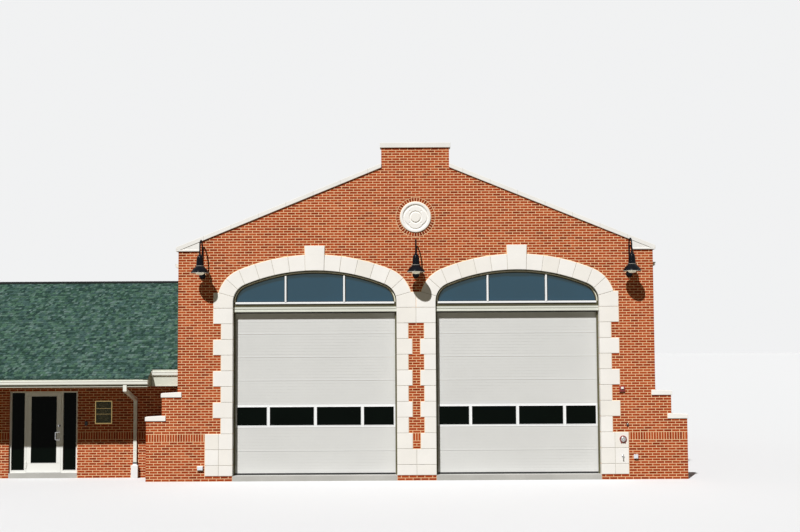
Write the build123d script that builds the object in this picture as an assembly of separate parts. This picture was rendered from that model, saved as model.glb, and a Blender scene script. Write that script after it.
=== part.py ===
from build123d import *
from math import acos, asin, atan2, cos, degrees, radians, sin, sqrt, tan
import os

# A small fire station: a brick engine bay with a gabled parapet front and two
# three-centred stone arches, and a low office wing with a shingled roof beside it.
# All sizes are in millimetres. X runs to the right along the front, Y runs back
# and Z runs up. Zero is the left corner of the front wall at floor level, until the
# last step moves the building so that its origin is the middle of its base.

# Brickwork: a module is one brick with its joint, and three courses make a module
brick_module = 203.2
courses_in_module = 3
mortar_joint = 10

# Front wall, across
margin_width = 7 * brick_module
opening_width = 21 * brick_module
pier_width = 5 * brick_module
front_thickness = 254

# Whole engine bay
bay_depth = 90 * brick_module
side_thickness = 254
footing_courses = 2
bay_eave_height = 5510
bay_roof_thickness = 200
ridge_cap_reach = 150
ridge_cap_thickness = 12

# Arches: two corner arcs and one main arc, with the stones between two such curves
spring_above_pier = 157
arch_main_radius = 4800
arch_corner_radius = 500
ring_height = 2 * brick_module
main_stones_each_side = 4
corner_stones_each_side = 2
keystone_height = 645
keystone_top_width = 522
keystone_bottom_width = 478

# Cut stones
stone_depth = brick_module
stone_proud = 15
keystone_proud = 30
first_stone_courses = 4
second_stone_courses = 10
stone_courses = 6
stone_bands = 12
base_stone_width = 3.5 * brick_module
narrow_stone_width = 1.5 * brick_module
wide_stone_width = 2.5 * brick_module
pier_wide_stone_width = 2 * brick_module

# Gable parapet
coping_edge_height = 5961
coping_slope = 0.4075
coping_height = 114
coping_reach = 64
coping_overhang = 38
kneeler_length = 3 * brick_module
kneeler_course = 86
block_width = 1778
block_course = 126
block_cap_height = 130
block_cap_reach = 38
kneeler_plate_height = 38
kneeler_recess = 12

# Round stone in the gable
medallion_height = 6700
medallion_radius = 406.5
medallion_depth = 60
medallion_rim = 62
medallion_relief = 30
boss_relief = 24
petal_relief = 18
boss_radius = 135
boss_groove = 25
petal_radius = 187
petal_distance = 127
petal_count = 4

# Step walls at both ends of the front
step_width = 2 * brick_module
upper_step_course = 30
lower_step_course = 21
step_cap_courses = 2
step_cap_inset = 102
step_cap_reach = 25
step_cap_fall = 30

# Transoms above the doors
transom_front = 95
transom_depth = 65
sill_drop = 52
sill_thickness = 52
sill_recess = 76
transom_frame_width = 72
mullion_width = 50
mullion_distance = 765
glass_thickness = 12
header_height = 130
header_front = 100
header_lap = 33
door_seal_width = 45
door_seal_front = 190

# Sectional doors
door_sections = 7
section_gap = 4
door_thickness = 50
door_side_lap = 60
window_section = 2
window_rail = 41
muntin_width = 78
outer_light_width = 780
light_bottom = 60
light_height = 475
groove_depth = 3
groove_width = 8
grooves_in_section = 7

# Wall lamps
lamp_height = 5155
lamp_place_share = 0.44
lamp_canopy_radius = 80
lamp_canopy_edge = 35
lamp_canopy_depth = 90
lamp_canopy_bend = 0.72
lamp_arm_radius = 15
lamp_riser_offset = 45
lamp_reach = 410
lamp_arm_top = 6080
lamp_neck_top = 5695
shade_collar_radius = 32
shade_shoulder = 105
shade_dome_bend = 0.33
shade_neck_radius = 90
shade_neck_bottom = 5500
shade_flare_out = 0.3
shade_flare_down = 0.6
shade_waist_radius = 125
shade_waist_height = 5398
shade_skirt_bulge = 9
shade_rim_radius = 235
shade_rim_height = 5240
shade_wall = 4

# Side gutters and downspouts of the bay
bay_gutter_width = 125
bay_gutter_height = 95
gutter_wall = 5
downspout_width = 94
downspout_depth = 70
bay_downspout_inset = 700

# Office wing
wing_length = 7460
wing_depth = 55 * brick_module
wing_setback = 5 * brick_module
wing_wall_thickness = 254
wing_pitch = 5 / 12
wing_roof_thickness = 150
wing_eave_face = -220
wing_rake_reach = 300
fascia_thickness = 20
fascia_height = 230.667
soffit_height = 2316
soffit_thickness = 18
eave_gap_to_front = 880
cutback_face = 300
wing_gutter_width = 130
wing_gutter_height = 117
wing_gutter_drop = 33
barge_height = 190
barge_thickness = 25

# Front downspout of the wing
wing_spout_x = -1300
spout_elbow_height = 2240
spout_wall_height = 1940
spout_bottom_height = 250
boot_height = 200
boot_width = 180
boot_depth = 130

# Entrance in the wing
entrance_offset = 40
entrance_width = 9 * brick_module
entrance_head_course = 32
entrance_setback = 60
frame_member = 50
frame_head = 36
frame_depth = 115
leaf_width = 922
leaf_thickness = 45
leaf_clearance = 5
leaf_floor_clearance = 8
leaf_stile = 120
leaf_top_rail = 92
leaf_bottom_rail = 252
sidelight_sill = 70
hinge_pin_radius = 5
hinge_barrel_radius = 10
hinge_bore_clearance = 0.3
hinge_knuckle = 60
hinge_end_gap = 1
hinge_leaf_width = 30
hinge_heights = (220, 1060, 1900)
pull_bottom = 868
pull_top = 1092
pull_radius = 12
pull_standoff = 55
pull_offset = 75
pull_bend = 24
lock_height = 1250
lock_radius = 22
lock_depth = 12
push_bar_height = 1080
push_bar_size = 40
push_bar_standoff = 45

# Plaque and small fittings
plaque_gap = 472
plaque_bottom = 1300
plaque_width = 457
plaque_height = 613
plaque_thickness = 25
plaque_border = 28
plaque_recess = 10
bell_height = 900
bell_offset = 825
bell_ring_radius = 108
bell_dome_radius = 86
bell_depth = 40
tap_height = 417
tap_reach = 60
tap_pipe_radius = 11
tap_flange_radius = 30
tap_flange_thickness = 8
tap_spout_radius = 12
tap_spout_drop = 60
tap_stem_radius = 6
tap_stem_height = 44
tap_wheel_radius = 26
tap_wheel_thickness = 9
horn_height = 2190
horn_offset = 865
horn_width = 140
horn_depth = 45
strobe_width = 70
strobe_height = 56
strobe_depth = 30
outlet_height = 450
outlet_offset = 495
outlet_width = 110
outlet_tall = 120
outlet_depth = 55
left_outlet_offset = 596
left_outlet_height = 207
left_outlet_width = 150
left_outlet_tall = 110
left_outlet_depth = 60
key_switch_height = 1270
key_switch_offset = 695
key_switch_width = 70
key_switch_tall = 110
key_switch_depth = 35
keypad_height = 1310
keypad_gap = 236
keypad_width = 70
keypad_tall = 110
keypad_depth = 30

# Places and levels that follow from the sizes above
course = brick_module / courses_in_module
half_joint = mortar_joint / 2
base_level = -footing_courses * course
front_width = 2 * margin_width + 2 * opening_width + pier_width
middle = front_width / 2
left_arch = margin_width + opening_width / 2
right_arch = front_width - left_arch
arch_drop = sqrt((arch_main_radius - arch_corner_radius) ** 2
                 - (opening_width / 2 - arch_corner_radius) ** 2)
pier_top = (second_stone_courses + (stone_bands - 3) * stone_courses) * course
springer_top = pier_top + stone_courses * course
arch_spring = pier_top + spring_above_pier
sill_height = arch_spring - sill_drop
header_top = sill_height - sill_recess
header_bottom = header_top - header_height
section_height = (header_bottom + header_lap) / door_sections
arch_main_centre = arch_spring - arch_drop
arch_crown = arch_main_centre + arch_main_radius
keystone_top = arch_crown + keystone_height
bay_back = bay_depth
roof_front = front_thickness
roof_back = bay_depth - front_thickness
block_left = middle - block_width / 2
block_top = block_course * course
kneeler_inner = kneeler_length - coping_reach
kneeler_bottom = kneeler_course * course
wing_front = wing_setback
wing_back = wing_setback + wing_depth
wing_ridge = (wing_front + wing_back) / 2
wing_rear_eave = 2 * wing_ridge - wing_eave_face
wing_ridge_height = soffit_height + fascia_height + wing_pitch * (wing_ridge - wing_eave_face)
entrance_middle = -wing_length / 2 - entrance_offset
entrance_left = entrance_middle - entrance_width / 2
entrance_right = entrance_middle + entrance_width / 2
entrance_head = entrance_head_course * course
frame_front = wing_front + entrance_setback
leaf_left = entrance_middle - leaf_width / 2
leaf_top = entrance_head - frame_head - leaf_clearance
hinge_x = leaf_left - leaf_clearance / 2
hinge_y = frame_front - hinge_barrel_radius
door_left = {"left": margin_width, "right": margin_width + opening_width + pier_width}
lamp_places = (margin_width * lamp_place_share, middle, front_width - margin_width * lamp_place_share)

# Middle of the whole plan, which becomes the origin
plan_left = -wing_length - wing_rake_reach - barge_thickness
plan_right = front_width + 2 * step_width + step_cap_reach
plan_front = -lamp_reach - shade_rim_radius
plan_back = bay_back + coping_overhang
plan_middle = ((plan_left + plan_right) / 2, (plan_front + plan_back) / 2)


# A box between two limits along each direction
def block(x0, x1, y0, y1, z0, z1):
    corner = (Align.MIN, Align.MIN, Align.MIN)
    return Pos(x0, y0, z0) * Box(x1 - x0, y1 - y0, z1 - z0, align=corner)


# A flat outline through the given points
def outline(*points):
    return Polygon(*points, align=None)


def rectangle(x0, x1, z0, z1):
    return outline((x0, z0), (x1, z0), (x1, z1), (x0, z1))


# A piece whose outline is drawn on the front elevation, from y0 back to y1
def front_piece(shape, y0, y1):
    return extrude(Plane.XZ.offset(-y0) * shape, amount=y1 - y0, dir=(0, 1, 0))


# A piece whose outline is drawn on the side elevation, from x0 right to x1
def side_piece(shape, x0, x1):
    return extrude(Plane.YZ.offset(x0) * shape, amount=x1 - x0, dir=(1, 0, 0))


# The same piece on the other side of the middle of the front
def mirrored(shape, about_x=middle):
    return mirror(shape, about=Plane.YZ.offset(about_x))


def solids_of(shapes):
    return [solid for shape in shapes for solid in shape.solids()]


# A point on a circle in the front elevation, with the angle counted from the right
def on_circle(centre, radius, angle):
    return (centre[0] + radius * cos(radians(angle)), centre[1] + radius * sin(radians(angle)))


# Three-centred arch opening down to foot_level, drawn inset from the stone's edge
def arch_opening(centre_x, foot_level, inset=0):
    half_width = opening_width / 2 - inset
    corner_radius = arch_corner_radius - inset
    main_radius = arch_main_radius - inset
    corner_offset = opening_width / 2 - arch_corner_radius
    turn = degrees(atan2(arch_drop, corner_offset))
    right_corner = (centre_x + corner_offset, arch_spring)
    left_corner = (centre_x - corner_offset, arch_spring)
    main_centre = (centre_x, arch_main_centre)
    right_foot = (centre_x + half_width, foot_level)
    left_foot = (centre_x - half_width, foot_level)
    right_start = on_circle(right_corner, corner_radius, 0)
    right_mid = on_circle(right_corner, corner_radius, turn / 2)
    right_end = on_circle(right_corner, corner_radius, turn)
    crown = on_circle(main_centre, main_radius, 90)
    left_end = on_circle(left_corner, corner_radius, 180 - turn)
    left_mid = on_circle(left_corner, corner_radius, 180 - turn / 2)
    left_start = on_circle(left_corner, corner_radius, 180)
    return make_face([
        Line(left_foot, right_foot),
        Line(right_foot, right_start),
        ThreePointArc(right_start, right_mid, right_end),
        ThreePointArc(right_end, crown, left_end),
        ThreePointArc(left_end, left_mid, left_start),
        Line(left_start, left_foot),
    ])


# The part of an arch opening above a level
def arch_above(centre_x, level, inset=0):
    reach = opening_width
    upper = rectangle(centre_x - reach, centre_x + reach, level, keystone_top)
    return arch_opening(centre_x, base_level, inset) & upper


# One ring stone between two joints, each given by its angles at the inner and outer curve
def ring_stone(centre, inner, outer, low, high):
    points = [on_circle(centre, inner, low[0]), on_circle(centre, outer, low[1]),
              on_circle(centre, outer, high[1]), on_circle(centre, inner, high[0])]
    outer_mid = on_circle(centre, outer, (low[1] + high[1]) / 2)
    inner_mid = on_circle(centre, inner, (low[0] + high[0]) / 2)
    return make_face([
        Line(points[0], points[1]),
        ThreePointArc(points[1], outer_mid, points[2]),
        Line(points[2], points[3]),
        ThreePointArc(points[3], inner_mid, points[0]),
    ])


# Angles of a joint's edge at both curves, half a joint away from the joint's middle
def joint_edge(angle, inner, outer, side):
    return (angle + side * degrees(asin(half_joint / inner)),
            angle + side * degrees(asin(half_joint / outer)))


# Half the keystone's width at a level
def keystone_half(level):
    share = (level - arch_crown) / (keystone_top - arch_crown)
    return (keystone_bottom_width + share * (keystone_top_width - keystone_bottom_width)) / 2


# Angle of the joint on top of the springer, where the outer curve meets the top course
def springer_angle():
    return degrees(asin((springer_top - arch_spring) / (arch_corner_radius + ring_height)))


# The thirteen stones over one opening: corner stones, main stones and the keystone
def arch_stones(centre_x):
    corner_offset = opening_width / 2 - arch_corner_radius
    turn = degrees(atan2(arch_drop, corner_offset))
    corner = (centre_x + corner_offset, arch_spring)
    centre = (centre_x, arch_main_centre)
    inner = arch_corner_radius
    outer = arch_corner_radius + ring_height
    first = springer_angle()
    stones = []
    step = (turn - first) / corner_stones_each_side
    for i in range(corner_stones_each_side):
        low = joint_edge(first + i * step, inner, outer, 1)
        high = joint_edge(first + (i + 1) * step, inner, outer, -1)
        stones.append(front_piece(ring_stone(corner, inner, outer, low, high), -stone_proud, stone_depth))
    inner = arch_main_radius
    outer = arch_main_radius + ring_height
    half_way = ring_height / 2
    last = degrees(acos((keystone_half(arch_crown + half_way) + half_joint) / (inner + half_way)))
    last_edge = (degrees(acos((keystone_half(arch_crown) + mortar_joint) / inner)),
                 degrees(acos((keystone_half(arch_crown + ring_height) + mortar_joint) / outer)))
    step = (last - turn) / main_stones_each_side
    for i in range(main_stones_each_side):
        low = joint_edge(turn + i * step, inner, outer, 1)
        high = joint_edge(turn + (i + 1) * step, inner, outer, -1)
        if i == main_stones_each_side - 1:
            high = last_edge
        stones.append(front_piece(ring_stone(centre, inner, outer, low, high), -stone_proud, stone_depth))
    stones += [mirrored(stone, centre_x) for stone in stones]
    foot = keystone_half(arch_crown)
    foot_level = arch_main_centre + sqrt(arch_main_radius ** 2 - foot ** 2)
    head = keystone_top_width / 2
    keystone = make_face([
        ThreePointArc((centre_x - foot, foot_level), (centre_x, arch_crown), (centre_x + foot, foot_level)),
        Line((centre_x + foot, foot_level), (centre_x + head, keystone_top)),
        Line((centre_x + head, keystone_top), (centre_x - head, keystone_top)),
        Line((centre_x - head, keystone_top), (centre_x - foot, foot_level)),
    ])
    return stones + [front_piece(keystone, -keystone_proud, stone_depth)]


# The top jamb stone on an opening's right side, cut to the arch's curve and first joint
def springer(centre_x, width):
    edge = centre_x + opening_width / 2
    corner = (edge - arch_corner_radius, arch_spring)
    joint = joint_edge(springer_angle(), arch_corner_radius, arch_corner_radius + ring_height, -1)[0]
    tip = on_circle(corner, arch_corner_radius, joint)
    half_way = on_circle(corner, arch_corner_radius, joint / 2)
    top = springer_top - half_joint
    bottom = pier_top + half_joint
    shoulder = (tip[0] + (top - tip[1]) / tan(radians(springer_angle())), top)
    far = edge + width - half_joint
    return make_face([
        Line((edge, bottom), (edge, arch_spring)),
        ThreePointArc((edge, arch_spring), half_way, tip),
        Line(tip, shoulder),
        Line(shoulder, (far, top)),
        Line((far, top), (far, bottom)),
        Line((far, bottom), (edge, bottom)),
    ])


# Course numbers between which each band of jamb stones lies
def stone_band(index):
    levels = [0, first_stone_courses, second_stone_courses]
    levels += [second_stone_courses + (i + 1) * stone_courses for i in range(stone_bands - 2)]
    return levels[index], levels[index + 1]


# A jamb stone from an opening's edge outwards; the side is 1 for right and -1 for left
def jamb_stone(edge, side, near, far, band):
    low, high = stone_band(band)
    ends = sorted((edge + side * near, edge + side * far))
    return front_piece(rectangle(ends[0], ends[1], low * course + half_joint, high * course - half_joint),
                       -stone_proud, stone_depth)


# Toothed stones of an outer jamb, drawn on the right side of the right opening
def right_jamb_stones():
    edge = front_width - margin_width
    stones = []
    for band in range(stone_bands - 1):
        if band < 3:
            split = base_stone_width / 2
            stones.append(jamb_stone(edge, 1, 0, split - half_joint, band))
            stones.append(jamb_stone(edge, 1, split + half_joint, base_stone_width - half_joint, band))
        else:
            width = narrow_stone_width if band % 2 == 1 else wide_stone_width
            stones.append(jamb_stone(edge, 1, 0, width - half_joint, band))
    stones.append(front_piece(springer(right_arch, wide_stone_width), -stone_proud, stone_depth))
    return stones


# Stones on both faces of the pier between the openings
def centre_pier_stones():
    edge = margin_width + opening_width
    stones = []
    for band in range(stone_bands - 1):
        if band in (0, 1, stone_bands - 2):
            width = pier_width / 2
        elif band % 2 == 1:
            width = narrow_stone_width
        else:
            width = pier_wide_stone_width
        stones.append(jamb_stone(edge, 1, 0, width - half_joint, band))
    stones.append(front_piece(springer(left_arch, pier_width / 2), -stone_proud, stone_depth))
    return stones + [mirrored(stone) for stone in stones]


# Level of the coping's top on the left slope
def coping_top(x):
    return coping_edge_height + coping_slope * x


# Kneelers, sloped copings and the cap of the centre block, between two depths
def coping_stones(y0, y1):
    plate_top = kneeler_bottom + kneeler_plate_height
    inner = kneeler_inner
    plate = rectangle(-coping_reach, inner, kneeler_bottom, plate_top)
    start = (plate_top + coping_height - coping_edge_height) / coping_slope
    under_inner = coping_top(inner) - coping_height
    block_level = coping_top(block_left)
    infill = outline((start, plate_top), (inner, plate_top), (inner, under_inner))
    slope = outline((-coping_reach, plate_top), (start, plate_top),
                    (block_left, block_level - coping_height), (block_left, block_level),
                    (-coping_reach, coping_top(-coping_reach)))
    cap = rectangle(block_left - block_cap_reach, middle, block_top, block_top + block_cap_height)
    kneeler = (front_piece(plate, y0, y1)
               + front_piece(infill, y0 + kneeler_recess, y1 - kneeler_recess))
    sides = [kneeler, front_piece(slope, y0, y1)]
    cap_half = front_piece(cap, y0, y1)
    return sides + [mirrored(stone) for stone in sides] + [cap_half + mirrored(cap_half)]


# Wall from its foot up to the undersides of the copings
def gable_outline():
    under_start = coping_top(kneeler_inner) - coping_height
    under_block = coping_top(block_left) - coping_height
    left = [(0, base_level), (0, kneeler_bottom), (kneeler_inner, kneeler_bottom),
            (kneeler_inner, under_start), (block_left, under_block), (block_left, block_top)]
    right = [(front_width - x, z) for x, z in reversed(left)]
    return outline(*left, *right)


# The band of that wall between two levels
def gable_band(bottom, top):
    return gable_outline() & rectangle(0, front_width, bottom, top)


def cut_away(piece, tools):
    for tool in tools:
        piece = piece - tool
    return piece


# Round stone with a rim, four petals and a boss
def make_medallion():
    def disc(radius, x, z, y0, y1):
        return front_piece(Pos(x, z) * Circle(radius), y0, y1)

    face = -stone_proud
    stone = disc(medallion_radius, middle, medallion_height, face, medallion_depth)
    rim = front_piece(Pos(middle, medallion_height)
                      * (Circle(medallion_radius) - Circle(medallion_radius - medallion_rim)),
                      face - medallion_relief, face)
    stone = stone + rim
    petals = Circle(petal_distance)
    for i in range(petal_count):
        x, z = on_circle((0, 0), petal_distance, i * 360 / petal_count)
        petals = petals + Pos(x, z) * Circle(petal_radius)
    petals = Pos(middle, medallion_height) * (petals - Circle(boss_radius + boss_groove))
    stone = stone + front_piece(petals, face - petal_relief, face)
    return stone + disc(boss_radius, middle, medallion_height, face - boss_relief, face)


def medallion_pocket():
    disc = Pos(middle, medallion_height) * Circle(medallion_radius)
    return front_piece(disc, -medallion_depth, medallion_depth)


# Steps beside the left corner, in the plane of the front wall
def make_left_step_wall():
    shape = outline((0, base_level), (0, upper_step_course * course),
                    (-step_width, upper_step_course * course), (-step_width, lower_step_course * course),
                    (-2 * step_width, lower_step_course * course), (-2 * step_width, base_level))
    return front_piece(shape, 0, front_thickness)


# Caps of the left steps, let into the taller masonry at their inner ends
def left_step_caps():
    caps = []
    for index, step_course in ((1, upper_step_course), (2, lower_step_course)):
        outer = -index * step_width - step_cap_reach
        inner = -(index - 1) * step_width + step_cap_inset
        bottom = step_course * course
        top = (step_course + step_cap_courses) * course
        shape = outline((outer, bottom), (inner, bottom), (inner, top), (outer, top - step_cap_fall))
        cap = front_piece(shape, -step_cap_reach, front_thickness + step_cap_reach)
        caps.append(cap - block(0, side_thickness, front_thickness, bay_depth, bottom, top))
    return caps


# Floor slab inside the walls, carried through the two door openings
def make_bay_floor():
    inside = block(side_thickness, front_width - side_thickness, front_thickness,
                   bay_depth - front_thickness, base_level, 0)
    for x in door_left.values():
        inside = inside + block(x, x + opening_width, 0, front_thickness, base_level, 0)
    return inside


# Side wall under the roof's slope
def make_bay_left_wall():
    under_edge = bay_eave_height - bay_roof_thickness
    shape = outline((0, base_level), (side_thickness, base_level),
                    (side_thickness, under_edge + coping_slope * side_thickness), (0, under_edge))
    return front_piece(shape, roof_front, roof_back)


def make_bay_roof_left():
    ridge = bay_eave_height + coping_slope * middle
    shape = outline((0, bay_eave_height - bay_roof_thickness), (middle, ridge - bay_roof_thickness),
                    (middle, ridge), (0, bay_eave_height))
    return front_piece(shape, roof_front, roof_back)


# Folded cap over a ridge, drawn as half of an upturned V
def ridge_cap_outline(centre, ridge_level, slope):
    fall = slope * ridge_cap_reach
    return outline((centre - ridge_cap_reach, ridge_level - fall), (centre, ridge_level),
                   (centre + ridge_cap_reach, ridge_level - fall),
                   (centre + ridge_cap_reach, ridge_level - fall + ridge_cap_thickness),
                   (centre, ridge_level + ridge_cap_thickness),
                   (centre - ridge_cap_reach, ridge_level - fall + ridge_cap_thickness))


def make_ridge_caps():
    bay_level = bay_eave_height + coping_slope * middle
    bay_cap = front_piece(ridge_cap_outline(middle, bay_level, coping_slope), roof_front, roof_back)
    wing_cap = side_piece(ridge_cap_outline(wing_ridge, wing_ridge_height, wing_pitch),
                          -wing_length - wing_rake_reach, 0)
    return [bay_cap, wing_cap]


# Open trough: the outline runs from the fascia out to the face and back
def gutter_outline(face, back, top, height):
    inward = 1 if back > face else -1
    wall = inward * gutter_wall
    return outline((back, top), (back, top - height), (face, top - height), (face, top),
                   (face + wall, top), (face + wall, top - height + gutter_wall),
                   (back - wall, top - height + gutter_wall), (back - wall, top))


# A trough with its two ends closed
def gutter_along_y(face, back, top, height, y0, y1):
    trough = front_piece(gutter_outline(face, back, top, height), y0, y1)
    lids = [front_piece(rectangle(min(face, back), max(face, back), top - height, top), y, y + gutter_wall)
            for y in (y0, y1 - gutter_wall)]
    return trough + lids[0] + lids[1]


def gutter_along_x(face, back, top, height, x0, x1):
    trough = side_piece(gutter_outline(face, back, top, height), x0, x1)
    lids = [side_piece(rectangle(min(face, back), max(face, back), top - height, top), x, x + gutter_wall)
            for x in (x0, x1 - gutter_wall)]
    return trough + lids[0] + lids[1]


def make_bay_gutters():
    left = gutter_along_y(-bay_gutter_width, 0, bay_eave_height, bay_gutter_height, roof_front, roof_back)
    return [left, mirrored(left)]


# Downspouts of the bay: to the wing's roof on the left, to the ground elsewhere
def make_bay_downspouts():
    top = bay_eave_height - bay_gutter_height
    spouts = []
    front_y = roof_front + bay_downspout_inset
    rear_y = roof_back - bay_downspout_inset
    for y, side, bottom in ((front_y, -1, wing_roof_top(front_y)), (rear_y, -1, base_level),
                            (front_y, 1, base_level), (rear_y, 1, base_level)):
        spout = block(-downspout_depth, 0, y, y + downspout_width, bottom, top)
        if side == -1 and bottom > base_level:
            before, after = y - downspout_width, y + 2 * downspout_width
            under = outline((before, wing_roof_top(before)), (after, wing_roof_top(after)),
                            (after, bottom), (before, bottom))
            spout = spout - side_piece(under, -2 * downspout_depth, downspout_depth)
        spouts.append(spout if side == -1 else mirrored(spout))
    return spouts


# Wing roof levels over the side elevation
def wing_roof_top(y):
    return wing_ridge_height - wing_pitch * abs(wing_ridge - y)


def wing_roof_under(y):
    return wing_roof_top(y) - wing_roof_thickness


# A wing wall along the front or the back, cut to the roof's slope on top
def wing_wall(x0, x1, y0, y1, bottom):
    shape = outline((y0, bottom), (y1, bottom), (y1, wing_roof_under(y1)), (y0, wing_roof_under(y0)))
    return side_piece(shape, x0, x1)


def make_wing_gable_wall():
    shape = outline((wing_front, base_level), (wing_back, base_level),
                    (wing_back, wing_roof_under(wing_back)), (wing_ridge, wing_roof_under(wing_ridge)),
                    (wing_front, wing_roof_under(wing_front)))
    return side_piece(shape, -wing_length, -wing_length + wing_wall_thickness)


def make_wing_floor():
    inside = block(-wing_length + wing_wall_thickness, 0, wing_front + wing_wall_thickness,
                   wing_back - wing_wall_thickness, base_level, 0)
    return inside + block(entrance_left, entrance_right, wing_front, wing_front + wing_wall_thickness,
                          base_level, 0)


# Front slope, with its corner cut back beside the parapet wall
def make_wing_roof_front():
    start = wing_eave_face + fascia_thickness
    shape = outline((start, wing_roof_under(start)), (wing_ridge, wing_roof_under(wing_ridge)),
                    (wing_ridge, wing_ridge_height), (start, wing_roof_top(start)))
    roof = side_piece(shape, -wing_length - wing_rake_reach, 0)
    notch = block(-eave_gap_to_front, fascia_thickness, start - fascia_thickness,
                  cutback_face + fascia_thickness, 0, wing_ridge_height)
    return roof - notch


def make_wing_roof_rear():
    end = wing_rear_eave - fascia_thickness
    shape = outline((wing_ridge, wing_roof_under(wing_ridge)), (end, wing_roof_under(end)),
                    (end, wing_roof_top(end)), (wing_ridge, wing_ridge_height))
    return side_piece(shape, -wing_length - wing_rake_reach, 0)


# Fascia boards, soffits, the return beside the front wall and the gable's barge boards
def make_wing_eaves():
    left = -wing_length - wing_rake_reach + barge_thickness
    eave = wing_eave_face
    edge = -eave_gap_to_front
    soffit_top = soffit_height + soffit_thickness
    front = block(left, edge, eave, eave + fascia_thickness, soffit_height,
                  wing_roof_top(eave) - fascia_thickness)
    front = front + block(left, edge, eave, wing_front, soffit_height, soffit_top)
    returned = outline((eave, soffit_height), (cutback_face + fascia_thickness, soffit_height),
                       (cutback_face + fascia_thickness, wing_roof_top(cutback_face)),
                       (eave, wing_roof_top(eave) - fascia_thickness))
    front = front + side_piece(returned, edge, edge + fascia_thickness)
    front = front + block(edge, 0, cutback_face, cutback_face + fascia_thickness, soffit_height,
                          wing_roof_top(cutback_face) - fascia_thickness)
    front = front + block(edge, 0, cutback_face, wing_front, soffit_height, soffit_top)
    rear_face = wing_rear_eave
    rear = block(left, 0, rear_face - fascia_thickness, rear_face, soffit_height,
                 wing_roof_top(rear_face) - fascia_thickness)
    rear = rear + block(left, 0, wing_back, rear_face, soffit_height, soffit_top)
    return [front, rear]


def make_barge_boards():
    outer = -wing_length - wing_rake_reach
    drop = barge_height
    shape = outline((wing_eave_face, wing_roof_top(wing_eave_face) - drop),
                    (wing_ridge, wing_ridge_height - drop),
                    (wing_rear_eave, wing_roof_top(wing_rear_eave) - drop),
                    (wing_rear_eave, wing_roof_top(wing_rear_eave) - fascia_thickness),
                    (wing_ridge, wing_ridge_height - fascia_thickness),
                    (wing_eave_face, wing_roof_top(wing_eave_face) - fascia_thickness))
    return side_piece(shape, outer - barge_thickness, outer)


def make_wing_gutters():
    left = -wing_length - wing_rake_reach
    top = wing_roof_top(wing_eave_face) - wing_gutter_drop
    front = gutter_along_x(wing_eave_face - wing_gutter_width, wing_eave_face, top, wing_gutter_height,
                           left, -eave_gap_to_front)
    cut_top = wing_roof_top(cutback_face) - wing_gutter_drop
    cut = gutter_along_x(cutback_face - wing_gutter_width, cutback_face, cut_top, wing_gutter_height,
                         -eave_gap_to_front + fascia_thickness, 0)
    rear = gutter_along_x(wing_rear_eave + wing_gutter_width, wing_rear_eave, top, wing_gutter_height,
                          left, 0)
    return [front, cut, rear]


# Downspout under the deep front eave: from the gutter back to the wall and down
def make_wing_downspouts():
    def spout(y_of):
        gutter_y = wing_eave_face - wing_gutter_width / 2
        gutter_bottom = wing_roof_top(wing_eave_face) - wing_gutter_drop - wing_gutter_height
        half = downspout_depth / 2
        wall_y = wing_front - half
        rise = spout_elbow_height - spout_wall_height
        run = wall_y - gutter_y
        slant = half * sqrt(rise ** 2 + run ** 2) / run
        points = [(gutter_y - half, gutter_bottom), (gutter_y - half, spout_elbow_height - slant),
                  (wall_y - half, spout_wall_height - slant), (wall_y - half, spout_bottom_height),
                  (wall_y + half, spout_bottom_height), (wall_y + half, spout_wall_height + slant),
                  (gutter_y + half, spout_elbow_height + slant), (gutter_y + half, gutter_bottom)]
        return side_piece(outline(*[(y_of(y), z) for y, z in points]),
                          wing_spout_x - downspout_width / 2, wing_spout_x + downspout_width / 2)

    def rear(y):
        return 2 * wing_ridge - y

    return [spout(lambda y: y), spout(rear)]


# Drain boots into which the wing's downspouts run
def make_downspout_boots():
    front = block(wing_spout_x - boot_width / 2, wing_spout_x + boot_width / 2,
                  wing_front - boot_depth, wing_front, base_level, boot_height)
    half = downspout_width / 2 + gutter_wall
    collar = block(wing_spout_x - half, wing_spout_x + half, wing_front - downspout_depth - gutter_wall,
                   wing_front, boot_height, spout_bottom_height)
    boot = front + collar
    return [boot, mirror(boot, about=Plane.XZ.offset(-wing_ridge))]


# Frame round the arched transom, with the recessed band under its sill
def transom_frame(centre_x):
    shape = arch_above(centre_x, header_top) - arch_above(centre_x, sill_height, transom_frame_width)
    return front_piece(shape, transom_front, transom_front + transom_depth)


def mullion_outline(centre_x, place):
    half = mullion_width / 2
    return rectangle(centre_x + place - half, centre_x + place + half, sill_height, keystone_top)


# White sill and the two mullions
def transom_bars(centre_x):
    sill_top = sill_height + sill_thickness
    bars = rectangle(centre_x - opening_width, centre_x + opening_width, sill_height, sill_top)
    for place in (-mullion_distance, mullion_distance):
        bars = bars + mullion_outline(centre_x, place)
    inside = arch_above(centre_x, sill_height, transom_frame_width)
    return front_piece(inside & bars, transom_front, transom_front + transom_depth)


# Three panes between the bars
def transom_panes(centre_x):
    shape = arch_above(centre_x, sill_height + sill_thickness, transom_frame_width)
    for place in (-mullion_distance, mullion_distance):
        shape = shape - mullion_outline(centre_x, place)
    front = transom_front + (transom_depth - glass_thickness) / 2
    return front_piece(shape, front, front + glass_thickness)


def make_door_headers():
    return [block(x, x + opening_width, header_front, front_thickness, header_bottom, header_top)
            for x in door_left.values()]


# Strips that close the gap between the stone jambs and the doors
def make_door_seals():
    strips = []
    for x in door_left.values():
        for edge in (x, x + opening_width - door_seal_width):
            strips.append(block(edge, edge + door_seal_width, door_seal_front, front_thickness,
                                0, header_bottom))
    return strips


# Limits of the glass in a door's window section, from left to right
def door_lights(x):
    clear = opening_width - 2 * door_seal_width
    inner = (clear - 2 * window_rail - 3 * muntin_width - 2 * outer_light_width) / 2
    lights = []
    start = x + door_seal_width + window_rail
    for width in (outer_light_width, inner, inner, outer_light_width):
        lights.append((start, start + width))
        start = start + width + muntin_width
    return lights


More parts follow.
